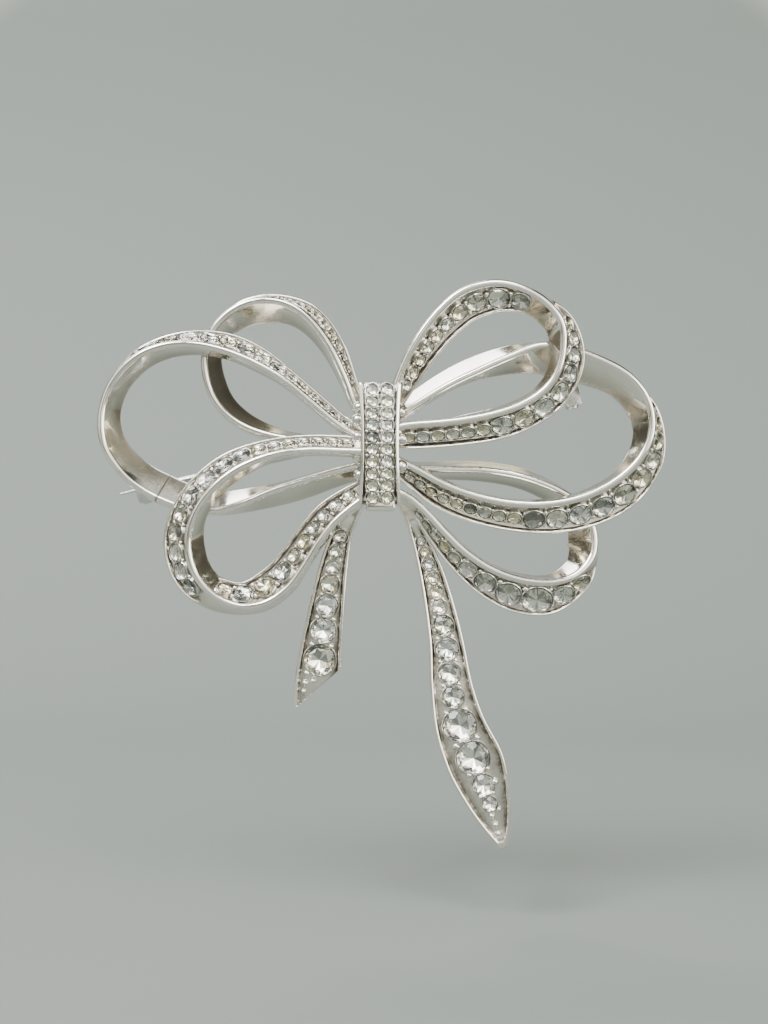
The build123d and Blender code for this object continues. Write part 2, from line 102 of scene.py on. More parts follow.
class NodeTree:
    """A node tree that is filled by short calls."""

    def __init__(self, tree: bpy.types.NodeTree) -> None:
        """Keep the tree and empty it.

        Args:
            tree: The material's, world's or group's own tree.
        """
        self.tree = tree
        tree.nodes.clear()

    def add(self, kind: str, **settings: object) -> bpy.types.Node:
        """Add a node.

        Args:
            kind: The node's class without its ShaderNode prefix.
            settings: Properties by name; inputs by their socket name with spaces as underscores.

        Returns:
            The new node.
        """
        prefix = "" if kind.startswith("Node") else "ShaderNode"
        node = self.tree.nodes.new(prefix + kind)
        for key, value in settings.items():
            if hasattr(node, key):
                setattr(node, key, value)
            else:
                self.feed(node.inputs[key.replace("_", " ")], value)
        return node

    def feed(self, socket: bpy.types.NodeSocket, value: object) -> None:
        """Give a socket its value, or join it to the socket that has it."""
        if isinstance(value, bpy.types.NodeSocket):
            self.tree.links.new(value, socket)
        else:
            socket.default_value = value

    def math(self, operation: str, first: object, second: object = 0.0) -> bpy.types.NodeSocket:
        """Add a Math node.

        Args:
            operation: The node's operation.
            first: A socket or a number.
            second: A socket or a number.

        Returns:
            The node's output.
        """
        node = self.add("Math", operation=operation)
        self.feed(node.inputs[0], first)
        self.feed(node.inputs[1], second)
        return node.outputs[0]

    def times(self, first: object, second: object) -> bpy.types.NodeSocket:
        """Multiply two sockets or numbers."""
        return self.math("MULTIPLY", first, second)

    def plus(self, *terms: object) -> bpy.types.NodeSocket:
        """Add up sockets or numbers."""
        total = terms[0]
        for term in terms[1:]:
            total = self.math("ADD", total, term)
        return total

    def mask(self, name: str) -> bpy.types.NodeSocket:
        """A float attribute of the surface."""
        return self.add("Attribute", attribute_name=name).outputs["Fac"]

    def place(self) -> bpy.types.NodeSocket:
        """The place on the object."""
        return self.add("TexCoord").outputs["Object"]

    def ramp(self, factor: bpy.types.NodeSocket, low: float, high: float) -> bpy.types.NodeSocket:
        """Map a value between low and high onto 0 to 1, clamped and smooth."""
        limits = {"From_Min": low, "From_Max": high}
        node = self.add("MapRange", interpolation_type="SMOOTHSTEP", Value=factor, **limits)
        return node.outputs["Result"]

    def blend(self, factor: object, first: object, second: object) -> bpy.types.NodeSocket:
        """Mix two colours.

        Args:
            factor: A socket or a number.
            first: A socket or a colour.
            second: A socket or a colour.

        Returns:
            The mixed colour.
        """
        node = self.add("Mix", data_type="RGBA")
        self.feed(node.inputs[MIX_FACTOR], factor)
        self.feed(node.inputs[MIX_FIRST], first)
        self.feed(node.inputs[MIX_SECOND], second)
        return node.outputs[MIX_RESULT]

    def show(self, shader: bpy.types.Node, kind: str = "OutputMaterial") -> None:
        """End the tree with its output node."""
        self.add(kind, Surface=shader.outputs[0])


class SurfaceGroups:
    """Shader groups that more than one finish uses."""

    def __init__(self) -> None:
        """Build each group once."""
        self.polish = self._make_polish()
        self.tarnish = self._make_tarnish()

    @staticmethod
    def _start(name: str, inputs: dict[str, float], outputs: tuple[str, ...]) -> NodeTree:
        """Make an empty group with float sockets.

        Args:
            name: The group's name.
            inputs: Input names with their defaults.
            outputs: Output names.

        Returns:
            The group's tree.
        """
        group = bpy.data.node_groups.new(name, "ShaderNodeTree")
        for key, value in inputs.items():
            socket = group.interface.new_socket(key, in_out="INPUT", socket_type="NodeSocketFloat")
            socket.default_value = value
        for key in outputs:
            group.interface.new_socket(key, in_out="OUTPUT", socket_type="NodeSocketFloat")
        return NodeTree(group)

    def _make_polish(self) -> bpy.types.NodeTree:
        """Height of hand polishing: slow waves of the casting, fine scratches and pits."""
        inputs = {"Wave": 1.0, "Scratch": 1.0, "Grain": 1.0}
        made = self._start("hand_polish", inputs, ("Height", "Scuff"))
        source = made.add("NodeGroupInput")
        place = made.place()
        wave = made.add("TexNoise", Vector=place, Scale=330.0, Detail=2.0, Roughness=0.4)
        turned = made.add("Mapping", Vector=place, Rotation=(0.5, 0.3, 0.7), Scale=(1.0, 1.0, 9.0))
        scratch = made.add("TexNoise", Vector=turned.outputs[0], Scale=1900.0, Detail=4.0, Roughness=0.7)
        grain = made.add("TexNoise", Vector=place, Scale=5200.0, Detail=3.0, Roughness=0.6)
        lines = made.ramp(scratch.outputs["Fac"], 0.56, 0.72)
        total = made.plus(
            made.times(wave.outputs["Fac"], source.outputs["Wave"]),
            made.times(lines, source.outputs["Scratch"]),
            made.times(grain.outputs["Fac"], source.outputs["Grain"]),
        )
        made.add("NodeGroupOutput", Height=total, Scuff=lines)
        return made.tree

    def _make_tarnish(self) -> bpy.types.NodeTree:
        """Masks of dirt in the recesses and of the odd bloom on open metal."""
        made = self._start("tarnish", {"Recess": 0.0, "Bloom": 0.3}, ("Dirt", "Film"))
        source = made.add("NodeGroupInput")
        place = made.place()
        patch = made.add("TexNoise", Vector=place, Scale=420.0, Detail=5.0, Roughness=0.62)
        speck = made.add("TexNoise", Vector=place, Scale=2600.0, Detail=3.0, Roughness=0.55)
        uneven = made.plus(patch.outputs["Fac"], made.times(speck.outputs["Fac"], 0.5))
        least = made.plus(made.times(made.ramp(uneven, 0.5, 0.92), 0.6), 0.4)
        film = made.times(made.ramp(uneven, 0.74, 1.0), source.outputs["Bloom"])
        made.add("NodeGroupOutput", Dirt=made.times(source.outputs["Recess"], least), Film=film)
        return made.tree


def new_material(name: str) -> tuple[bpy.types.Material, NodeTree]:
    """Make an empty material.

    Args:
        name: Its name.

    Returns:
        The material and its tree.
    """
    material = bpy.data.materials.new(name)
    material.use_nodes = True
    return material, NodeTree(material.node_tree)


@dataclass(frozen=True)
class PlateFinish:
    """Polished rhodium plate, with the casting's waves, wear on its rims, dirt in its recesses and a painted
    shade deep inside the loops.
    """

    name: str
    colour: Colour = (0.87, 0.835, 0.745, 1.0)
    dirt: Colour = (0.10, 0.085, 0.06, 1.0)
    film: Colour = (0.60, 0.55, 0.44, 1.0)
    worn: Colour = (0.93, 0.90, 0.84, 1.0)
    # painted shade: the dark colour deep inside a loop
    inside_painted_shade: Colour = (0.42, 0.38, 0.33, 1.0)
    roughness: float = 0.06
    wave: float = 1.0
    scratch: float = 0.05
    grain: float = 0.02
    bloom: float = 0.35
    bump: float = 0.045
    least_wear: float = 0.35
    inside_shade_share: float = 0.8
    scuff_rough: float = 0.10
    film_rough: float = 0.22
    cast_rough: float = 0.12
    dirt_rough: float = 0.38

    def make(self, groups: SurfaceGroups) -> bpy.types.Material:
        """Build the material.

        Args:
            groups: The shared shader groups.

        Returns:
            The finished material.
        """
        material, made = new_material(self.name)
        masks = made.add("Group", node_tree=groups.tarnish, Bloom=self.bloom, Recess=made.mask("recess"))
        polish = made.add(
            "Group", node_tree=groups.polish, Wave=self.wave, Scratch=self.scratch, Grain=self.grain
        )
        scuff = polish.outputs["Scuff"]
        film = masks.outputs["Film"]
        dirt = masks.outputs["Dirt"]
        inside = made.mask("inside")
        wear = made.times(made.mask("edge"), made.plus(scuff, self.least_wear))
        # Deep inside a loop the colour is darkened: painted shade; the added roughness there is the real,
        # less polished cast metal.
        colour = made.blend(made.times(inside, self.inside_shade_share), self.colour, self.inside_painted_shade)
        colour = made.blend(wear, colour, self.worn)
        colour = made.blend(film, colour, self.film)
        colour = made.blend(dirt, colour, self.dirt)
        rough = made.plus(
            made.times(scuff, self.scuff_rough),
            made.times(film, self.film_rough),
            made.times(inside, self.cast_rough),
            made.times(dirt, self.dirt_rough),
            self.roughness,
        )
        bump = made.add("Bump", Strength=1.0, Distance=self.bump * MM, Height=polish.outputs["Height"])
        metal = made.add("BsdfPrincipled", Metallic=1.0, Base_Color=colour, Roughness=rough)
        made.feed(metal.inputs["Normal"], bump.outputs[0])
        made.show(metal)
        return material


@dataclass(frozen=True)
class CutGlassFinish:
    """Cut glass, clear or aged to a pale straw colour by the stone's own tint."""

    name: str = "cut_glass"
    clear: Colour = (0.99, 0.995, 1.0, 1.0)
    aged: Colour = (0.99, 0.965, 0.87, 1.0)
    ior: float = 1.58
    roughness: float = 0.015
    scuff_rough: float = 0.08

    def make(self, groups: SurfaceGroups) -> bpy.types.Material:
        """Build the material.

        Args:
            groups: The shared shader groups.

        Returns:
            The finished material.
        """
        material, made = new_material(self.name)
        polish = made.add("Group", node_tree=groups.polish, Wave=0.3, Scratch=0.12, Grain=0.0)
        rough = made.plus(made.times(polish.outputs["Scuff"], self.scuff_rough), self.roughness)
        colour = made.blend(made.mask("tint"), self.clear, self.aged)
        glass = made.add("BsdfPrincipled", IOR=self.ior, Transmission_Weight=1.0)
        made.feed(glass.inputs["Base Color"], colour)
        made.feed(glass.inputs["Roughness"], rough)
        made.show(glass)
        return material


@dataclass(frozen=True)
class FoilFinish:
    """Silver foil behind a stone, browned where it is old."""

    name: str = "stone_foil"
    bright: Colour = (0.96, 0.97, 0.97, 1.0)
    brown: Colour = (0.93, 0.87, 0.66, 1.0)
    grey: Colour = (0.20, 0.22, 0.24, 1.0)
    roughness: float = 0.07
    film_rough: float = 0.2

    def make(self, groups: SurfaceGroups) -> bpy.types.Material:
        """Build the material.

        Args:
            groups: The shared shader groups.

        Returns:
            The finished material.
        """
        material, made = new_material(self.name)
        masks = made.add("Group", node_tree=groups.tarnish, Recess=0.2, Bloom=0.3)
        colour = made.blend(made.mask("tint"), self.bright, self.brown)
        colour = made.blend(made.mask("dull"), colour, self.grey)
        colour = made.blend(masks.outputs["Dirt"], colour, self.brown)
        rough = made.plus(made.times(masks.outputs["Film"], self.film_rough), self.roughness)
        made.show(made.add("BsdfPrincipled", Metallic=1.0, Base_Color=colour, Roughness=rough))
        return material


class Finishes:
    """Every material of the brooch, each built once."""

    def __init__(self) -> None:
        """Build the shared groups and the materials."""
        groups = SurfaceGroups()
        self.plate = PlateFinish("rhodium_plate").make(groups)
        self.knot = PlateFinish(
            "knot_plate", colour=(0.80, 0.78, 0.72, 1.0), roughness=0.09, wave=0.7
        ).make(groups)
        self.beads = PlateFinish(
            "bead_plate", colour=(0.80, 0.78, 0.73, 1.0), roughness=0.10, wave=0.3, bloom=0.6
        ).make(groups)
        self.fittings = PlateFinish(
            "fitting_plate",
            colour=(0.74, 0.73, 0.70, 1.0),
            roughness=0.16,
            scratch=0.2,
            bloom=0.6,
        ).make(groups)
        self.wire = PlateFinish(
            "pin_wire", colour=(0.72, 0.72, 0.71, 1.0), roughness=0.14, wave=0.4, scratch=0.3
        ).make(groups)
        self.glass = CutGlassFinish().make(groups)
        self.foil = FoilFinish().make(groups)


# ---------------------------------------------------------------- mesh help


def smoothstep(value: float) -> float:
    """Rise smoothly from 0 to 1 as the value does."""
    value = min(max(value, 0.0), 1.0)
    return value * value * (3.0 - 2.0 * value)


def point(x: float, lift: float, z: float) -> Vector:
    """A place in millimetres, with the lift in front of the pin's axis."""
    return Vector((x, -lift, z))


def put_in_scene(name: str, data: bpy.types.ID) -> bpy.types.Object:
    """Make an object of a mesh, a light or a camera."""
    made = bpy.data.objects.new(name, data)
    bpy.context.scene.collection.objects.link(made)
    return made


@dataclass
class Piece:
    """A mesh under construction, in millimetres, with the body it rides on, its slot and the CAD parts it
    replaces.
    """

    name: str
    body: Body
    slot: Slot
    replaces: tuple[str, ...] = ()
    mesh: bmesh.types.BMesh = field(default_factory=bmesh.new)

    def mask(self, name: str) -> bmesh.types.BMLayerItem:
        """The float attribute of the points with this name, made when it is new."""
        layers = self.mesh.verts.layers.float
        return layers.get(name) or layers.new(name)

    def finish(
        self, material: bpy.types.Material, levels: int = 0, bevel: float = 0.0, recalculate: bool = True
    ) -> bpy.types.Object:
        """Turn the mesh into an object of the scene.

        Args:
            material: Its finish.
            levels: Levels of the Subdivision Surface, or 0 for none.
            bevel: Width of a rounding bevel on sharp edges, in millimetres, or 0 for none.
            recalculate: Whether the faces are turned outwards.

        Returns:
            The finished object.
        """
        if recalculate:
            bmesh.ops.recalc_face_normals(self.mesh, faces=self.mesh.faces)
        bmesh.ops.scale(self.mesh, vec=(MM, MM, MM), verts=self.mesh.verts)
        data = bpy.data.meshes.new(self.name)
        self.mesh.to_mesh(data)
        self.mesh.free()
        data.materials.append(material)
        made = put_in_scene(self.name, data)
        if bevel:
            rounding = made.modifiers.new("rounding", "BEVEL")
            rounding.width = bevel * MM
            rounding.segments = 3
            rounding.limit_method = "ANGLE"
            rounding.angle_limit = SHARP_ANGLE
            data.shade_smooth()
        if levels:
            smooth = made.modifiers.new("smooth", "SUBSURF")
            smooth.levels = levels
            smooth.render_levels = levels
            data.shade_smooth()
        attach(made, self.body.value)
        if self.replaces:
            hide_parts(*self.replaces)
        log.info("%s: %d faces", self.name, len(data.polygons))
        return made


# ---------------------------------------------------------------- bands


@dataclass(frozen=True)
class Route:
    """A smooth line through stations: x and z of the rim, lift, and the back's two widths."""

    stations: tuple[Station, ...]
    layer: float

    @property
    def last(self) -> float:
        """The number of the last station."""
        return float(len(self.stations) - 1)

    def values(self, t: float) -> list[float]:
        """The five numbers of the line at t, counted in stations."""
        last = len(self.stations) - 1
        k = min(int(t), last - 1)
        f = t - k
        rows = [self.stations[min(max(n, 0), last)] for n in (k - 1, k, k + 1, k + 2)]
        return [
            b + f * (c - a) / 2 + f * f * (2 * a - 5 * b + 4 * c - d) / 2 + f**3 * (3 * b - a - 3 * c + d) / 2
            for a, b, c, d in zip(*rows)
        ]

    def frame(self, t: float) -> tuple[Vector, Vector, float, float]:
        """The cross-section's place.

        Args:
            t: Where, counted in stations.

        Returns:
            The rim's point, the direction out of the loop, and the back's outer and inner widths.
        """
        nudge = 0.02
        x, z, lift, outer, inner = self.values(t)
        ahead = self.values(min(t + nudge, self.last))
        behind = self.values(max(t - nudge, 0.0))
        along = Vector((ahead[0] - behind[0], 0.0, ahead[1] - behind[1])).normalized()
        outward = Vector((along.z, 0.0, -along.x))
        return point(x, self.layer + lift, z), outward, outer, inner


@dataclass(frozen=True)
class Channel:
    """A stretch of a facet that is sunk for stones."""

    side: Side
    start: float
    end: float
    ease: float = 0.5

    def share(self, t: float) -> float:
        """How much of its full depth the channel has at t, easing in and out at its ends."""
        begun = smoothstep((t - self.start) / self.ease + 0.5)
        return begun * smoothstep((self.end - t) / self.ease + 0.5)


def kept(geometry: list[Element], kind: type) -> list[Element]:
    """The elements of one kind in an operator's result."""
    return [g for g in geometry if isinstance(g, kind)]


def older_neighbour(vert: bmesh.types.BMVert, fresh: set[bmesh.types.BMVert]) -> bmesh.types.BMVert:
    """The point that a newly extruded one grew from."""
    return next(e.other_vert(vert) for e in vert.link_edges if e.other_vert(vert) not in fresh)


@dataclass
class SweptBar:
    """A bar drawn along a route: a closed section is extruded from place to place."""

    name: str
    route: Route
    channels: tuple[Channel, ...] = ()
    steps: int = 5
    end_lip: float = 0.012

    def share(self, side: Side, t: float) -> float:
        """How much of its full depth the channel on one side has at t."""
        return max([c.share(t) for c in self.channels if c.side == side], default=0.0)

    def section(self, t: float, outer: float, inner: float) -> list[Corner]:
        """Corners of the section: across, depth, recess and edge. Each kind of bar has its own."""
        raise NotImplementedError

    def inside(self, across: float, depth: float) -> float:
        """How unpolished the metal is at a corner, and how much painted shade darkens its colour."""
        return 0.0

    def places(self, first: float, last: float) -> list[float]:
        """Where the sections stand, with a second one close to each end to keep it crisp."""
        count = round((last - first) * self.steps)
        inside = [first + (last - first) * n / count for n in range(1, count)]
        lips = (0.0, self.end_lip, 3 * self.end_lip)
        return [*(first + lip for lip in lips), *inside, *(last - lip for lip in reversed(lips))]

    def sweep(self, piece: Piece, first: float, last: float) -> None:
        """Draw the bar into a piece.

        Args:
            piece: The piece to fill.
            first: Station that it starts at.
            last: Station that it ends at.
        """
        mesh = piece.mesh
        recess = piece.mask("recess")
        edge = piece.mask("edge")
        # The inside mask marks less polished metal and also carries a painted shade.
        inside = piece.mask("inside")
        ring: list[bmesh.types.BMEdge] = []
        for number, t in enumerate(self.places(first, last)):
            rim, outward, outer, inner = self.route.frame(t)
            corners = self.section(t, outer, inner)
            if number == 0:
                count = len(corners)
                verts = bmesh.ops.create_circle(mesh, segments=count, radius=1.0, cap_ends=True)["verts"]
                ring = list(mesh.edges)
            else:
                grown = bmesh.ops.extrude_edge_only(mesh, edges=ring)["geom"]
                fresh = set(kept(grown, bmesh.types.BMVert))
                ring = [e for e in kept(grown, bmesh.types.BMEdge) if fresh.issuperset(e.verts)]
                verts = sorted(fresh, key=lambda v: order[older_neighbour(v, fresh)])
            order = {v: n for n, v in enumerate(verts)}
            for vert, (across, depth, low, worn) in zip(verts, corners):
                vert.co = rim + outward * across + Vector((0.0, depth, 0.0))
                at_end = min(t - first, last - t) < 2 * self.end_lip
                vert[recess] = 1.0 if at_end else low
                vert[edge] = 0.0 if at_end else worn
                vert[inside] = self.inside(across, depth)
        bmesh.ops.contextual_create(mesh, geom=ring)


@dataclass
class Band(SweptBar):
    """A loop's band: a rounded front rim and two facets that fall back to a wide back."""

    rim_half_width: float = 0.46
    rim_drop: float = 0.22
    back_rim: float = 0.36
    raised: float = 0.26
    slope: float = 0.10
    soft: float = 0.07
    flat_share: float = 0.55
    outside_share: float = 0.35

    def inside(self, across: float, depth: float) -> float:
        """How unpolished the metal is at a corner, the more the deeper inside the loop; the same share
        darkens its colour as painted shade.
        """
        return smoothstep(depth / BAND_DEPTH) * (1.0 if across < 0 else self.outside_share)

    def facet(self, reach: float, low: float, deep: float) -> list[Corner]:
        """Corners of one facet, from the front rim to the back's edge.

        Args:
            reach: How far the back stands outside the rim.
            low: How much of its full depth the channel has.
            deep: The channel's full depth.

        Returns:
            The corners, with across counted away from the rim.
        """
        run = Vector((reach - self.rim_half_width, BAND_DEPTH - self.rim_drop))
        down = run.normalized()
        into = Vector((-down.y, down.x))
        length = run.length
        sunk = low * deep
        rise = low * self.raised
        marks = [
            (self.soft, 0.0, 0.0, 0.5),
            (self.soft + self.slope, sunk, low, 0.0),
            (2 * self.soft + 2 * self.slope, sunk, low * 0.4, 0.0),
            (length - self.back_rim - 2 * self.soft - self.slope, sunk, low * 0.4, 0.0),
            (length - self.back_rim - self.slope, sunk, low, 0.0),
            (length - self.back_rim, -rise, 0.0, 0.5),
            (length - self.soft, -rise, 0.0, 0.9),
        ]
        corners = [(self.rim_half_width, self.rim_drop, 0.0, 0.8)]
        for distance, depth, recess, worn in marks:
            place = Vector((self.rim_half_width, self.rim_drop)) + down * distance + into * depth
            corners.append((place.x, place.y, recess, worn))
        return corners

    def section(self, t: float, outer: float, inner: float) -> list[Corner]:
        """Corners of the band's section.

        Args:
            t: Where, counted in stations.
            outer: How far the back stands outside the rim.
            inner: How far the back stands inside the rim.

        Returns:
            The corners, once round.
        """
        flat = self.rim_half_width * self.flat_share
        deep = min(max(CHANNEL_SHARE * (outer + inner), CHANNEL_SHALLOW), CHANNEL_DEEP)
        out = self.facet(outer, self.share(Side.OUTER, t), deep)
        back = self.facet(inner, self.share(Side.INNER, t), deep)
        middle = (outer - inner) / 2
        return [
            (flat, 0.0, 0.0, 1.0),
            *out,
            (outer, BAND_DEPTH - self.soft, 0.0, 0.6),
            (outer - self.soft, BAND_DEPTH, 0.0, 0.4),
            (middle, BAND_DEPTH, 0.3, 0.0),
            (-inner + self.soft, BAND_DEPTH, 0.0, 0.4),
            (-inner, BAND_DEPTH - self.soft, 0.0, 0.6),
            *[(-a, d, r, e) for a, d, r, e in reversed(back)],
            (-flat, 0.0, 0.0, 1.0),
        ]


@dataclass
class TailBar(SweptBar):
    """A tail: a flat bar with two raised rims and a channel between them."""

    rim_width: float = 0.62
    rim_share: float = 0.27
    soft: float = 0.10
    soft_share: float = 0.06
    shallow: float = 0.38
    deep: float = 0.66
    deep_from_width: float = 5.0

    def section(self, t: float, outer: float, inner: float) -> list[Corner]:
        """Corners of the tail's section.

        Args:
            t: Where, counted in stations.
            outer: Half width on one side.
            inner: Half width on the other.

        Returns:
            The corners, once round.
        """
        width = outer + inner
        rim = min(self.rim_width, self.rim_share * width)
        soft = min(self.soft, self.soft_share * width)
        low = self.share(Side.OUTER, t)
        wide = smoothstep(width / self.deep_from_width)
        sunk = low * (self.shallow + (self.deep - self.shallow) * wide)
        half = [
            (soft, sunk, low, 0.0),
            (2 * soft, sunk, low, 0.0),
            (3 * soft, 0.0, 0.0, 0.6),
            (rim + soft, 0.0, 0.0, 1.0),
            (rim + 2 * soft, 2 * soft, 0.0, 0.6),
        ]
        start = width / 2 - rim - 2 * soft
        front = [(0.6 * start, sunk, 0.25 * low, 0.0), *[(start + a, d, r, e) for a, d, r, e in half]]
        side = [
            (width / 2, TAIL_THICKNESS - 2 * soft, 0.0, 0.4),
            (width / 2 - soft, TAIL_THICKNESS, 0.0, 0.4),
        ]
        right = [*front, *side]
        shift = (outer - inner) / 2
        round_trip = [*right, *[(-a, d, r, e) for a, d, r, e in reversed(right)]]
        return [(a + shift, d, r, e) for a, d, r, e in round_trip]


# ---------------------------------------------------------------- stones


@dataclass(frozen=True)
class SetStone:
    """One stone in its seat: its girdle's centre, the way it faces and its radius."""

    seat: Vector
    facing: Vector
    radius: float

    def placement(self, turn: float) -> Matrix:
        """The matrix that puts a stone of radius 1, facing +Z, in this seat.

        Args:
            turn: Turn about its own axis, in radians.

        Returns:
            The placement.
        """
        lean = self.facing.to_track_quat("Z", "Y").to_matrix().to_4x4()
        size = Matrix.Diagonal((self.radius, self.radius, self.radius, 1.0))
        return Matrix.Translation(self.seat) @ lean @ Matrix.Rotation(turn, 4, "Z") @ size

    def hold(self, verts: list[bmesh.types.BMVert]) -> None:
        """Keep what is set here in front of the band's back."""
        for vert in verts:
            vert.co.y = min(vert.co.y, self.seat.y + METAL_BEHIND)


def edge_spread(vert: bmesh.types.BMVert) -> float:
    """How unlike each other the edges at a point are: about 0 at a cone's point."""
    lengths = [e.calc_length() for e in vert.link_edges]
    return 1.0 - min(lengths) / max(lengths)


def read_stones(node: str) -> list[SetStone]:
    """Find the separate stones in a CAD node.

    Args:
        node: The node's name.

    Returns:
        The stones, in the order of the row.
    """
    pavilion_share = 0.80
    weld = 0.002
    mesh = bmesh.new()
    mesh.from_mesh(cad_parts[node].data)
    bmesh.ops.scale(mesh, vec=(1 / MM, 1 / MM, 1 / MM), verts=mesh.verts)
    bmesh.ops.remove_doubles(mesh, verts=mesh.verts, dist=weld)
    found: list[SetStone] = []
    seen: set[bmesh.types.BMVert] = set()
    for start in mesh.verts:
        if start in seen:
            continue
        island = [start]
        seen.add(start)
        for vert in island:
            fresh = [e.other_vert(vert) for e in vert.link_edges if e.other_vert(vert) not in seen]
            island.extend(dict.fromkeys(fresh))
            seen.update(fresh)
        apex = min(island, key=edge_spread)
        middle = sum((v.co for v in island), Vector()) / len(island)
        facing = (middle - apex.co).normalized()
        radius = max(((v.co - apex.co).cross(facing)).length for v in island)
        found.append(SetStone(apex.co + facing * pavilion_share * radius, facing, radius))
    mesh.free()
    return found


@dataclass(frozen=True)
class StoneCut:
    """The cut of a round stone of radius 1, as rings of corners: count, radius, height and turn."""

    table: tuple[int, float, float, float] = (8, 0.58, 0.34, 0.0)
    stars: tuple[int, float, float, float] = (8, 0.82, 0.235, 22.5)
    girdle: tuple[int, float, float, float] = (16, 1.00, 0.09, 11.25)
    belt: tuple[int, float, float, float] = (16, 1.00, 0.04, 11.25)
    culet: float = -0.20
    foil_gap: float = 1.025
    foil_depth: float = 1.04

    def ring(self, mesh: bmesh.types.BMesh, ring: tuple[int, float, float, float]) -> None:
        """Add one ring of corners to a mesh."""
        count, radius, height, turn = ring
        place = Matrix.Translation((0.0, 0.0, height)) @ Matrix.Rotation(math.radians(turn), 4, "Z")
        bmesh.ops.create_circle(mesh, segments=count, radius=radius, cap_ends=False, matrix=place)

    def glass(self) -> bpy.types.Mesh:
        """The stone's own facets, as the hull of its corners."""
        mesh = bmesh.new()
        for ring in (self.table, self.stars, self.girdle, self.belt):
            self.ring(mesh, ring)
        bmesh.ops.create_vert(mesh, co=(0.0, 0.0, self.culet))
        return self._hull(mesh, "stone_cut")

    def foil(self) -> bpy.types.Mesh:
        """The foil cup that backs the stone."""
        mesh = bmesh.new()
        self.ring(mesh, self.belt)
        bmesh.ops.create_vert(mesh, co=(0.0, 0.0, self.culet))
        gap = self.foil_gap
        bmesh.ops.scale(mesh, vec=(gap, gap, gap * self.foil_depth), verts=mesh.verts)
        return self._hull(mesh, "foil_cup", open_top=True)

    @staticmethod
    def _hull(mesh: bmesh.types.BMesh, name: str, open_top: bool = False) -> bpy.types.Mesh:
        """Wrap the corners in facets.

        Args:
            mesh: The corners; it is freed.
            name: The new mesh's name.
            open_top: Whether the flat top is taken off and the cup given a wall.

        Returns:
            The mesh.
        """
        wall = 0.02
        bmesh.ops.delete(mesh, geom=list(mesh.edges), context="EDGES_FACES")
        bmesh.ops.convex_hull(mesh, input=list(mesh.verts))
        bmesh.ops.dissolve_limit(mesh, angle_limit=FACET_ANGLE, verts=mesh.verts, edges=mesh.edges)
        bmesh.ops.recalc_face_normals(mesh, faces=mesh.faces)
        if open_top:
            tops = [f for f in mesh.faces if f.normal.z > 0.9]
            bmesh.ops.delete(mesh, geom=tops, context="FACES_ONLY")
            bmesh.ops.solidify(mesh, geom=list(mesh.faces), thickness=wall)
            bmesh.ops.split_edges(mesh, edges=list(mesh.edges))
        data = bpy.data.meshes.new(name)
        mesh.to_mesh(data)
        mesh.free()
        return data


